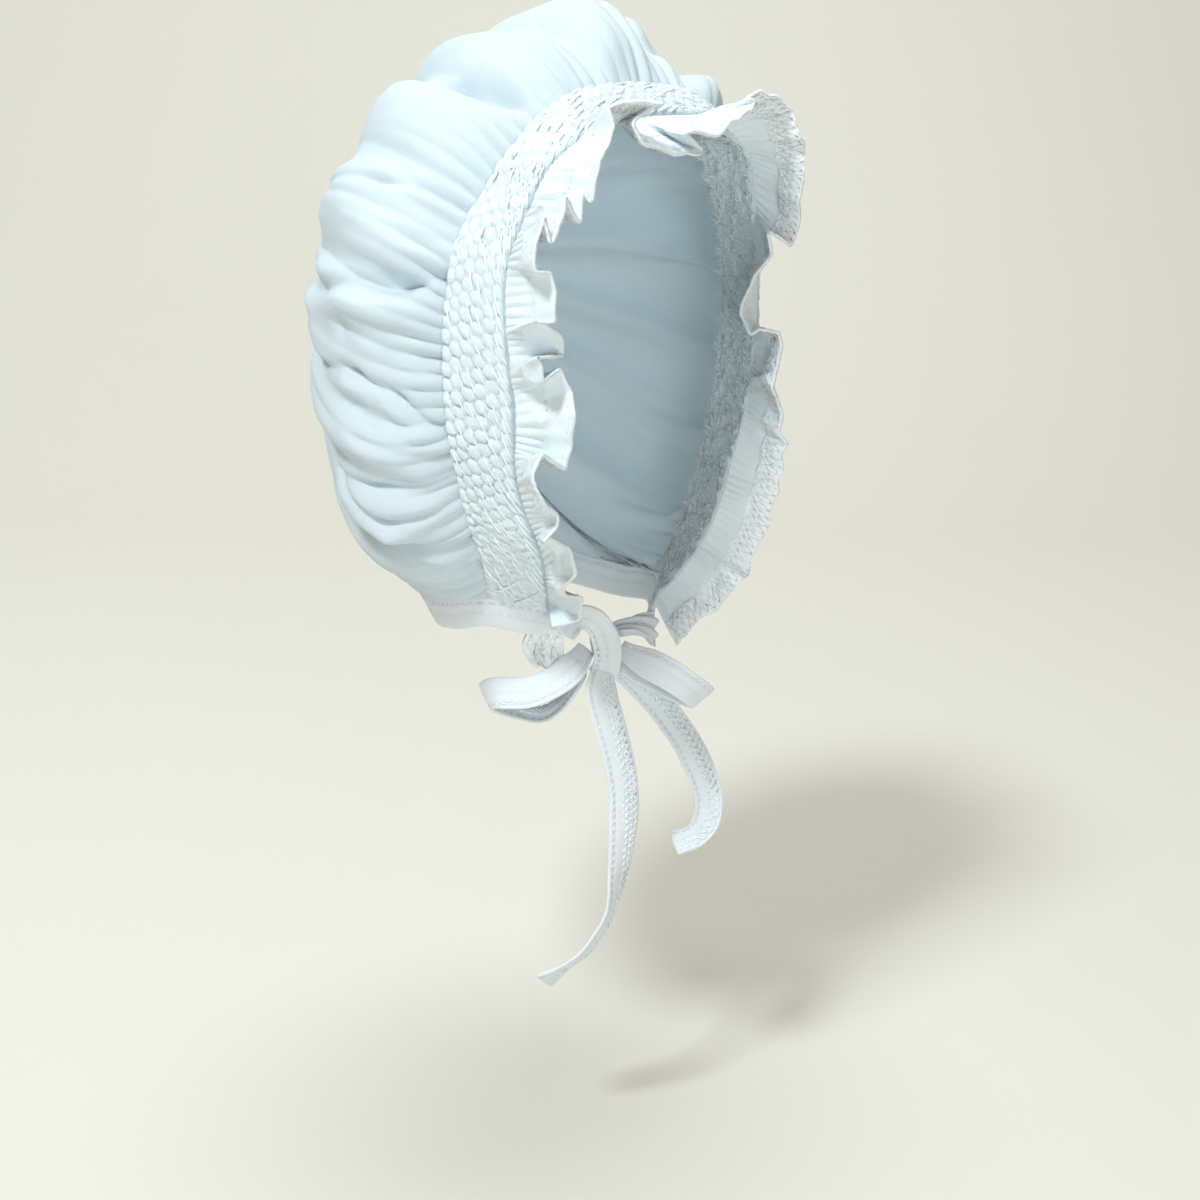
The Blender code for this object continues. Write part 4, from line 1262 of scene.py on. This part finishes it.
def tape(name, centres, across, widths, half, soft=0.0, seed=0, looped=0.0, hemmed=False, gathers=0.0):
    """Soft flat tape along centres. across points to its stitched edge; widths are its full widths;
    looped is the share of its wrong side, from the other edge, that holds chains of thread;
    gathers is the depth of lengthwise pleats. Returns the tape and its stitches."""
    ahead = unit(np.gradient(centres, axis=0))
    across = unit(across - ahead * (across * ahead).sum(-1, keepdims=True))
    face = np.cross(ahead, across)
    count = len(centres)
    turn = np.linspace(0.0, math.tau, TAPE_SIDES, endpoint=False)
    x = np.sign(np.cos(turn)) * np.abs(np.cos(turn)) ** 0.75
    y = np.sign(np.sin(turn)) * np.abs(np.sin(turn)) ** 0.55
    run = run_along(centres)
    share = 0.5 - x / 2.0
    sink = sum(np.exp(-((share - r) / STITCH_GROOVE) ** 2) for r in STITCH_ROWS)
    pull = 0.65 + 0.35 * np.cos(math.tau * run / STITCH_PITCH)[:, None]
    loop_band = step(share, 1.0 - looped - 0.03, 1.0 - looped + 0.03) if looped else 0.0 * share
    hollow = np.where(y > 0, sink, sink * (1.0 - loop_band))
    puff = 1.0 + soft * (clouds(run[:, None] / 0.006, share[None, :] * 3.0, seed=seed) - 0.5)
    wide = widths * (1.0 + 0.05 * (clouds(run / 0.007, run * 0.0, seed=seed + 1) - 0.5))
    hem = step(run, run[-1] - TAIL_HEM, run[-1] - TAIL_HEM + 0.0006) if hemmed else 0.0 * run
    thick = 1.0 + HEM_SWELL * hem
    lift = y[None, :] * half * puff * thick[:, None]
    lift = lift - np.sign(y)[None, :] * hollow[None, :] * pull * STITCH_SINK
    lift = lift + TAPE_CRUMPLE * (clouds(run[:, None] / 0.009, share[None, :] * 2.0, seed=seed + 2) - 0.5)
    lift = lift + gathers * np.sin(math.tau * (GATHERS * share[None, :] + GATHER_TWIST * run[:, None]))
    points = (centres[:, None] + across[:, None] * (x[None, :] * wide[:, None] / 2.0)[..., None]
              + face[:, None] * lift[..., None])
    faces = ring_faces(count, TAPE_SIDES)
    flat = list(points.reshape(-1, 3))
    for at, sign in ((0, -1), (count - 1, 1)):
        middle = len(flat)
        flat.append(centres[at] + ahead[at] * sign * half * 0.6)
        for j in range(TAPE_SIDES):
            k = (j + 1) % TAPE_SIDES
            a = at * TAPE_SIDES
            faces.append((a + k, a + j, middle) if sign < 0 else (a + j, a + k, middle))
    uvs = cloth_map(share * widths.mean(), run[:, None]).reshape(-1, 2)
    uvs = np.concatenate([uvs, [[0.0, 0.0], [0.0, run[-1]]]])
    wrong = np.broadcast_to((step(-y, 0.2, 0.5) * loop_band)[None, :], (count, TAPE_SIDES)).ravel()
    # Painted shade along the sunken stitch rows, deepest where each stitch pulls the cloth in.
    seam = (hollow[None, :] * (0.55 + 0.45 * pull)).ravel()
    piece = add_piece(name, flat, faces, uvs, {"wrong": np.append(wrong, [0.0, 0.0]),
                                               "seam": np.append(seam, [0.0, 0.0])})
    face_outward(piece)

    def along(at, level, side, rise):
        spot, to_edge, to_face = [read_line(at, run, grid) for grid in (centres, across, face)]
        reach = np.interp(at, run, wide) * (0.5 - level)
        high = side * (half * tape_height(level) + rise)
        return spot + to_edge * reach[:, None] + to_face * high[:, None]
    routes = []
    for r in STITCH_ROWS:
        for side, offset in ((1.0, 0.0), (-1.0, 0.5)):
            if side < 0 and r > 1.0 - looped:
                continue
            for start in np.arange(0.0015 + offset * STITCH_PITCH, run[-1] - 0.003, STITCH_PITCH):
                at = start + np.linspace(0.0, STITCH_LENGTH, 4)
                rise = -STITCH_SINK * 0.62 + np.array((-0.00024, 0.00012, 0.00012, -0.00024))
                routes.append(along(at, np.full(4, r), side, rise))
    for strand in range(CHAIN_STRANDS if looped else 0):
        at = np.arange(0.0010, run[-1] - 0.0010, LOOP_PITCH / 7)
        low = 1.0 - looped + strand * looped * 0.27
        phase = math.tau * at / LOOP_PITCH + strand * 2.3
        jitter = 0.25 * (clouds(at / LOOP_PITCH, strand, seed=seed + 5) - 0.5)
        level = np.clip(low + looped * 0.36 * (0.5 + 0.5 * np.sin(phase) + jitter), 0.02, 0.91)
        rise = CHAIN_LIFT + CHAIN_BOB * np.sin(2.0 * phase + strand)
        chain = along(at + CHAIN_SWING * np.sin(2.0 * phase), level, -1.0, rise)
        routes += cut_thread(chain, CHAIN_STEPS)
    stitches = tubes(name + "_stitches", routes, STITCH_RADIUS, sides=5, taper=0.6)
    return piece, stitches


def tie_route(route, looks_out, side, faced):
    """Middle line, width direction, width and length of a tie along its route from the knot. side is
    that of its stitched edge; a faced tie keeps its face outward all the way."""

    def middle(places):
        return from_knot(*np.moveaxis(between(route, places)[..., :3], -1, 0))
    last = len(route) - 1
    _, length = evenly(middle, last, 10)
    count = max(8, int(length / TAPE_RING))
    places, _ = evenly(middle, last, count)
    centres = middle(places)
    ahead = unit(np.gradient(centres, axis=0))
    flat = np.cross(ahead[0], BOW_OUT if looks_out else BOW_ACROSS)
    flats = []
    for direction in ahead:
        flat = unit(flat - direction * (flat @ direction))
        flats.append(flat)
    flats = np.array(flats)
    if faced:
        flats = unit(np.cross(ahead, BOW_OUT))
    face = np.cross(flats, ahead)
    turn = np.radians(between(route, places)[:, 3])[:, None]
    width = (flats * np.cos(turn) + face * np.sin(turn)) * side
    opened = step(np.linalg.norm(centres - KNOT_MIDDLE, axis=1), PINCH_FROM, PINCH_TO)
    return centres, width, TIE_WIDTH * (PINCH + (1.0 - PINCH) * opened), length


def sew_neck_band():
    rows = [tuple(rim_curve(0.0))] + neck_rows()[::-1] + [tuple(rim_curve(ARCH_LAST))]

    def edge(places):
        return between(rows, places)
    _, length = evenly(edge, len(rows) - 1, 10)
    places, _ = evenly(edge, len(rows) - 1, int(length / TAPE_RING))
    top = edge(places)
    inward = unit(np.stack([-top[:, 0], -top[:, 1], np.zeros(len(top))], -1))
    back = step(top[:, 1], 0.0, NECK_DEPTH / 2)[:, None]
    tuck = NECK_BAND_TUCK_FRONT + (NECK_BAND_TUCK_BACK - NECK_BAND_TUCK_FRONT) * back
    down = unit(inward * tuck - BOW_UP)
    centres = top + down * (BINDING_DROP + NECK_BAND_HEIGHT / 2)
    return tape("neck_binding", centres, -down, np.full(len(top), NECK_BAND_HEIGHT + BINDING_EXTRA),
                NECK_BAND_WALL / 2, soft=0.15, seed=81), length


def tie_knot():
    """The gathered middle of the bow."""
    turn = np.linspace(0.0, math.tau, KNOT_TURNS, endpoint=False)[:, None]
    level = np.linspace(0.02, math.pi - 0.02, KNOT_LEVELS)[None, :]
    folds = 1.0 + 0.07 * np.cos(turn * 5.0 + level * 2.2) + 0.05 * np.cos(turn * 9.0 - level * 3.0)
    folds = folds * (0.92 - 0.05 * np.cos(2.0 * level))
    a = KNOT_HALF[0] * np.sin(level) * np.cos(turn) * folds
    o = KNOT_HALF[1] * np.sin(level) * np.sin(turn) * folds
    u = KNOT_HALF[2] * KNOT_FILL * np.cos(level) + 0.0 * turn
    flat = list(from_knot(a, o, u).reshape(-1, 3))
    faces = [tuple(f) for f in grid_faces(KNOT_TURNS, KNOT_LEVELS, True)]
    for row, height in ((0, KNOT_TIP), (KNOT_LEVELS - 1, -KNOT_TIP)):
        flat.append(KNOT_MIDDLE + BOW_UP * KNOT_HALF[2] * height)
        for i in range(KNOT_TURNS):
            k = (i + 1) % KNOT_TURNS
            faces.append((i * KNOT_LEVELS + row, k * KNOT_LEVELS + row, len(flat) - 1))
    uvs = cloth_map(turn * KNOT_MAP[0], level * KNOT_MAP[1])
    piece = add_piece("knot_cloth", flat, faces, np.concatenate([uvs.reshape(-1, 2), np.zeros((2, 2))]))
    face_outward(piece)
    return piece


# Cloth finishes

def feed(tree, value, socket):
    """Lead a wire into a socket, or set a plain value there."""
    if isinstance(value, Wire):
        tree.links.new(value.socket, socket)
    else:
        socket.default_value = value


class Wire:
    """A socket's value that can be reckoned with in plain sums."""

    def __init__(self, tree, socket):
        self.tree, self.socket = tree, socket

    def sum(self, kind, *others):
        node = self.tree.nodes.new("ShaderNodeMath")
        node.operation = kind
        for place, other in enumerate((self,) + others):
            feed(self.tree, other, node.inputs[place])
        return Wire(self.tree, node.outputs[0])

    def __add__(self, other):
        return self.sum("ADD", other)

    __radd__ = __add__

    def __sub__(self, other):
        return self.sum("SUBTRACT", other)

    def __rsub__(self, other):
        return (self * -1.0) + other

    def __mul__(self, other):
        return self.sum("MULTIPLY", other)

    __rmul__ = __mul__

    def __pow__(self, other):
        return self.sum("POWER", other)


class Finish:
    """A material and its nodes."""

    def __init__(self, name):
        self.material = bpy.data.materials.new(name)
        self.material.use_nodes = True
        self.tree = self.material.node_tree
        self.shader = self.tree.nodes["Principled BSDF"]

    def node(self, kind, settings=None, out=0, **inputs):
        made = self.tree.nodes.new(kind)
        for key, value in (settings or {}).items():
            setattr(made, key, value)
        for key, value in inputs.items():
            numbered = key[0] == "i" and key[1:].isdigit()
            feed(self.tree, value, made.inputs[int(key[1:]) if numbered else key])
        return Wire(self.tree, made.outputs[out])

    def uv(self):
        return self.node("ShaderNodeUVMap", {"uv_map": "cloth"})

    def place(self):
        return self.node("ShaderNodeTexCoord", out=3)

    def share(self, label):
        return self.node("ShaderNodeAttribute", {"attribute_name": label}, out=2)

    def stretch(self, wire, scale):
        return self.node("ShaderNodeMapping", i0=wire, i3=scale)

    def noise(self, wire, scale, detail):
        return self.node("ShaderNodeTexNoise", Vector=wire, Scale=scale, Detail=detail)

    def blend(self, factor, first, second):
        made = self.tree.nodes.new("ShaderNodeMix")
        made.data_type = "RGBA"
        for place, value in ((0, factor), (6, first), (7, second)):
            feed(self.tree, value, made.inputs[place])
        return Wire(self.tree, made.outputs[2])

    def set(self, **values):
        for key, value in values.items():
            feed(self.tree, value, self.shader.inputs[key.replace("_", " ")])

    def sheer(self, share):
        """Let a share of the light through the cloth."""
        through = self.tree.nodes.new("ShaderNodeBsdfTranslucent")
        through.inputs["Color"].default_value = WHITE
        mix = self.tree.nodes.new("ShaderNodeMixShader")
        mix.inputs[0].default_value = share
        self.tree.links.new(self.shader.outputs[0], mix.inputs[1])
        self.tree.links.new(through.outputs[0], mix.inputs[2])
        self.tree.links.new(mix.outputs[0], self.tree.nodes["Material Output"].inputs["Surface"])

    def bump(self, height, strength, distance):
        made = self.node("ShaderNodeBump", Strength=strength, Distance=distance, Height=height)
        self.tree.links.new(made.socket, self.shader.inputs["Normal"])


WHITE = (0.80, 0.895, 0.95, 1.0)
SHADED = (0.72, 0.825, 0.89, 1.0)
# The smocked band's white is set darker than the crown's white, as painted shade of its small hollows. The
# colour after it is painted shade for the grooves between its puffs.
SMOCK_PAINTED_SHADE_WHITE = (0.71, 0.81, 0.86, 1.0)
SMOCK_GROOVE_PAINTED_SHADE = (0.44, 0.52, 0.57, 1.0)
THREAD_WHITE = (0.89, 0.94, 0.96, 1.0)
TAPE_WHITE = (0.77, 0.83, 0.88, 1.0)
TAPE_SHADED = (0.68, 0.75, 0.80, 1.0)
# The colour below is painted shade for the tapes' sunken stitch rows.
TAPE_GROOVE_PAINTED_SHADE = (0.44, 0.50, 0.55, 1.0)
GROUND_PALE = (0.735, 0.725, 0.665, 1.0)
GROUND_SHADED = (0.71, 0.70, 0.64, 1.0)
SHEER = 0.30
# Scale of the wave texture for threads 0.38 mm apart
WEAVE_SCALE = 827.60377
LAWN_TONE = 38.0
SOFT_CLOTH = dict(Sheen_Roughness=0.5, Subsurface_Weight=0.10, Subsurface_Scale=0.0015)
SOFT_TAPE = dict(Sheen_Roughness=0.5, Subsurface_Weight=0.12, Subsurface_Scale=0.0018)


def weave(finish):
    """Height of a fine plain weave with uneven threads, on the cloth's own map."""
    uv = finish.uv()
    warp = finish.node("ShaderNodeTexWave", {"bands_direction": "X"}, out=1, Vector=uv,
                       Scale=WEAVE_SCALE, Distortion=1.4, Detail=1.0)
    weft = finish.node("ShaderNodeTexWave", {"bands_direction": "Y"}, out=1, Vector=uv,
                       Scale=WEAVE_SCALE, Distortion=1.4, Detail=1.0)
    slub = finish.noise(finish.stretch(uv, (900.0, 120.0, 1.0)), 1.0, 3.0)
    slub_across = finish.noise(finish.stretch(uv, (120.0, 900.0, 1.0)), 1.0, 3.0)
    return warp * 0.5 + weft * 0.5 + slub * 0.7 + slub_across * 0.7


def lawn_finish():
    finish = Finish("cotton_lawn")
    cloth = weave(finish)
    tone = finish.noise(finish.place(), LAWN_TONE, 3.0)
    colour = finish.blend(tone * 0.5 + cloth * 0.12, WHITE, SHADED)
    finish.set(Base_Color=colour, Roughness=0.86, Specular_IOR_Level=0.25, Sheen_Weight=0.20, **SOFT_CLOTH)
    finish.bump(cloth, 0.30, 0.00022)
    finish.sheer(SHEER)
    return finish.material


def smocking_finish():
    finish = Finish("smocked_lawn")
    cloth = weave(finish)
    unshaded_share = finish.share("unshaded_share")
    crumb = finish.noise(finish.place(), 900.0, 3.0)
    # Painted shade: the colour darkens towards the grooves between the puffs, and a little over the wrong
    # side.
    colour = finish.blend((1.0 - unshaded_share) ** 1.5, SMOCK_PAINTED_SHADE_WHITE, SMOCK_GROOVE_PAINTED_SHADE)
    finish.set(Base_Color=colour, Roughness=0.8, Specular_IOR_Level=0.3, Sheen_Weight=0.2, **SOFT_CLOTH)
    finish.bump(cloth * 0.5 + crumb, 0.5, 0.0004)
    return finish.material


def ruffle_finish():
    finish = Finish("ruffle_lawn")
    cloth = weave(finish)
    looped = finish.share("looped")
    uv = finish.uv()
    cells = finish.node("ShaderNodeTexVoronoi", {"feature": "SMOOTH_F1"}, Vector=uv, Scale=1050.0)
    loops = finish.node("ShaderNodeTexWave", {"bands_direction": "DIAGONAL"}, out=1, Vector=uv,
                        Scale=230.0, Distortion=6.0, Detail=2.0)
    height = cloth * 0.3 * (1.0 - looped) + (cells * 1.3 + loops * 0.6) * looped
    tone = finish.noise(finish.place(), LAWN_TONE, 3.0)
    colour = finish.blend(tone * 0.5, WHITE, SHADED)
    colour = finish.blend(looped * (1.0 - cells * 0.8), colour, THREAD_WHITE)
    finish.set(Base_Color=colour, Roughness=0.82, Specular_IOR_Level=0.3, Sheen_Weight=0.2, **SOFT_CLOTH)
    finish.bump(height, 0.6, 0.0005)
    return finish.material


def tape_finish():
    finish = Finish("soft_tape")
    cloth = weave(finish)
    wrong, seam = finish.share("wrong"), finish.share("seam")
    nap = finish.noise(finish.place(), 700.0, 3.0)
    tone = finish.noise(finish.place(), 60.0, 3.0)
    colour = finish.blend(tone * 0.5 + wrong * 0.25, TAPE_WHITE, TAPE_SHADED)
    # Painted shade along the sunken stitch rows.
    colour = finish.blend(seam ** 1.5 * 0.85, colour, TAPE_GROOVE_PAINTED_SHADE)
    finish.set(Base_Color=colour, Roughness=0.8, Specular_IOR_Level=0.3, Sheen_Weight=0.25, **SOFT_TAPE)
    finish.bump(cloth * 0.15 + nap * 0.25, 0.5, 0.0004)
    return finish.material


def thread_finish():
    finish = Finish("white_thread")
    twist = finish.node("ShaderNodeTexWave", {"bands_direction": "DIAGONAL"}, out=1, Vector=finish.uv(),
                        Scale=900.0, Distortion=1.0, Detail=1.0)
    colour = finish.blend(twist * 0.5, THREAD_WHITE, WHITE)
    finish.set(Base_Color=colour, Roughness=0.55, Specular_IOR_Level=0.5, Sheen_Weight=0.1)
    finish.bump(twist, 0.4, 0.0001)
    return finish.material


def ground_finish():
    finish = Finish("pale_ground")
    tone = finish.noise(finish.place(), 3.0, 3.0)
    colour = finish.blend(tone, GROUND_PALE, GROUND_SHADED)
    finish.set(Base_Color=colour, Roughness=0.9, Specular_IOR_Level=0.1)
    return finish.material


# Ground, light and camera

FLOOR_LEVEL = -0.336
GROUND_REACH = 2.6
GROUND_BACK = 1.15
SWEEP = 0.5
SWEEP_STEPS = 24
BACKDROP_HEIGHT = 2.6
GROUND_HALF_WIDTH = 3.2


def lay_ground(finish):
    """Pale floor that curves up into a backdrop behind the bonnet."""
    view = Vector((0.7071, 0.7071, 0.0))
    side = Vector((0.7071, -0.7071, 0.0))
    profile = [(-GROUND_REACH, 0.0)]
    for k in range(SWEEP_STEPS + 1):
        turn = math.pi / 2 * k / SWEEP_STEPS
        profile.append((GROUND_BACK - SWEEP + SWEEP * math.sin(turn), SWEEP - SWEEP * math.cos(turn)))
    profile.append((GROUND_BACK, BACKDROP_HEIGHT))
    points, faces = [], []
    for reach, height in profile:
        for sign in (-1.0, 1.0):
            spot = view * reach + side * sign * GROUND_HALF_WIDTH
            points.append((spot.x, spot.y, FLOOR_LEVEL + height))
    for i in range(len(profile) - 1):
        faces.append((2 * i, 2 * i + 1, 2 * i + 3, 2 * i + 2))
    ground = add_piece("ground", points, faces, np.zeros((len(points), 2)))
    ground.data.materials.append(finish)


ROOM_COLOUR = (1.0, 0.78, 0.60, 1.0)
ROOM_STRENGTH = 0.26
LAMP_COLOUR = (0.90, 0.975, 1.0)
LAMPS = [
    # name, place, aim, size, power
    ("key", (-0.80, -0.12, 0.96), (0.0, 0.0, -0.09), 0.26, 14.5),
    ("front_fill", (-0.55, -0.95, 0.02), (0.03, 0.0, -0.1), 0.5, 3.8),
    ("backdrop_wash", (0.10, 0.10, 1.5), (1.05, 1.05, 0.35), 0.9, 18.0),
]


def soft_lamp(name, place, aim, size, power, colour):
    data = bpy.data.lights.new(name, "AREA")
    data.shape = "DISK"
    data.size = size
    data.energy = power
    data.color = colour
    lamp = bpy.data.objects.new(name, data)
    bpy.context.scene.collection.objects.link(lamp)
    lamp.location = place
    lamp.rotation_euler = (Vector(aim) - Vector(place)).to_track_quat("-Z", "Y").to_euler()


def light_up():
    """A cool lamp high on the near side, a fill in front, a wash on the backdrop, and a weak warm room."""
    world = bpy.data.worlds.new("warm_room")
    bpy.context.scene.world = world
    world.use_nodes = True
    sky = world.node_tree.nodes["Background"]
    sky.inputs["Color"].default_value = ROOM_COLOUR
    sky.inputs["Strength"].default_value = ROOM_STRENGTH
    for name, place, aim, size, power in LAMPS:
        soft_lamp(name, place, aim, size, power, LAMP_COLOUR)


def set_camera():
    fall = math.tan(CAMERA_PITCH) * math.hypot(*CAMERA_AHEAD)
    forward = Vector((*CAMERA_AHEAD, -fall)).normalized()
    right = CAMERA_RIGHT.normalized()
    up = right.cross(forward)
    cos, sin = math.cos(CAMERA_ROLL), math.sin(CAMERA_ROLL)
    x, y = right * cos + up * sin, up * cos - right * sin
    data = bpy.data.cameras.new("camera")
    data.lens = CAMERA_LENS
    data.sensor_width = SENSOR
    camera = bpy.data.objects.new("camera", data)
    bpy.context.scene.collection.objects.link(camera)
    camera.matrix_world = Matrix((
        (x.x, y.x, -forward.x, CAMERA_PLACE.x), (x.y, y.y, -forward.y, CAMERA_PLACE.y),
        (x.z, y.z, -forward.z, CAMERA_PLACE.z), (0.0, 0.0, 0.0, 1.0)))
    bpy.context.scene.camera = camera


def dress(piece, finish, slot, *nodes):
    piece.data.materials.append(finish)
    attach(piece, "root")
    if nodes:
        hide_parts(*nodes)


def main():
    set_camera()
    view = bpy.context.scene.view_settings
    view.view_transform = "Standard"
    light_up()
    lay_ground(ground_finish())
    lawn, smock, frill = lawn_finish(), smocking_finish(), ruffle_finish()
    soft, thread = tape_finish(), thread_finish()

    outer, inner = sew_crown()
    dress(outer, lawn, "crown", "crown")
    dress(inner, lawn, "crown", "crown")

    band, loose = sew_smocked_band()
    threads, ends = embroider(), fray()
    dress(loose, thread, "smocked_band")
    dress(band, smock, "smocked_band", "smocked_band")
    dress(threads, thread, "smocked_band")
    dress(ends, thread, "smocked_band")

    ruffle, point, normals = sew_ruffle()
    seam = hem_stitches(point, normals)
    inside = point - normals * (RUFFLE_CLOTH / 2 + HEM_EXTRA)
    covers = cover_stitches("ruffle_overlock", inside, normals, *HEM_CHAINS)
    dress(ruffle, frill, "ruffle", "ruffle")
    dress(seam, thread, "ruffle")
    dress(covers, thread, "ruffle")
    end, face, out_of_it = sew_ruffle_end()
    chains = cover_stitches("ruffle_end_chains", face, -out_of_it, *END_CHAINS)
    dress(end, frill, "ruffle")
    dress(chains, thread, "ruffle")

    (binding, rows), length = sew_neck_band()
    dress(binding, soft, "neck_band", "neck_band")
    dress(rows, thread, "neck_band")

    dress(tie_knot(), soft, "knot", "knot")
    for node, route, looks_out, side, looped in TIES:
        centres, width, widths, length = tie_route(route, looks_out, side, node == "tie_right")
        if node == "tie_right":
            widths = np.full(len(widths), WRAP_WIDTH)
        if node == "tie_left":
            widths = np.linspace(GATHERED_WIDTH, TIE_WIDTH * GATHERED_END, len(widths))
        piece, rows = tape(node + "_tape", centres, width, widths, TAPE_HALF, soft=0.2,
                           seed=90 + len(route), looped=looped, hemmed=node.startswith("tail"),
                           gathers=GATHER_DEPTH if node == "tie_left" else 0.0)
        dress(piece, soft, node, node)
        dress(rows, thread, node)


main()
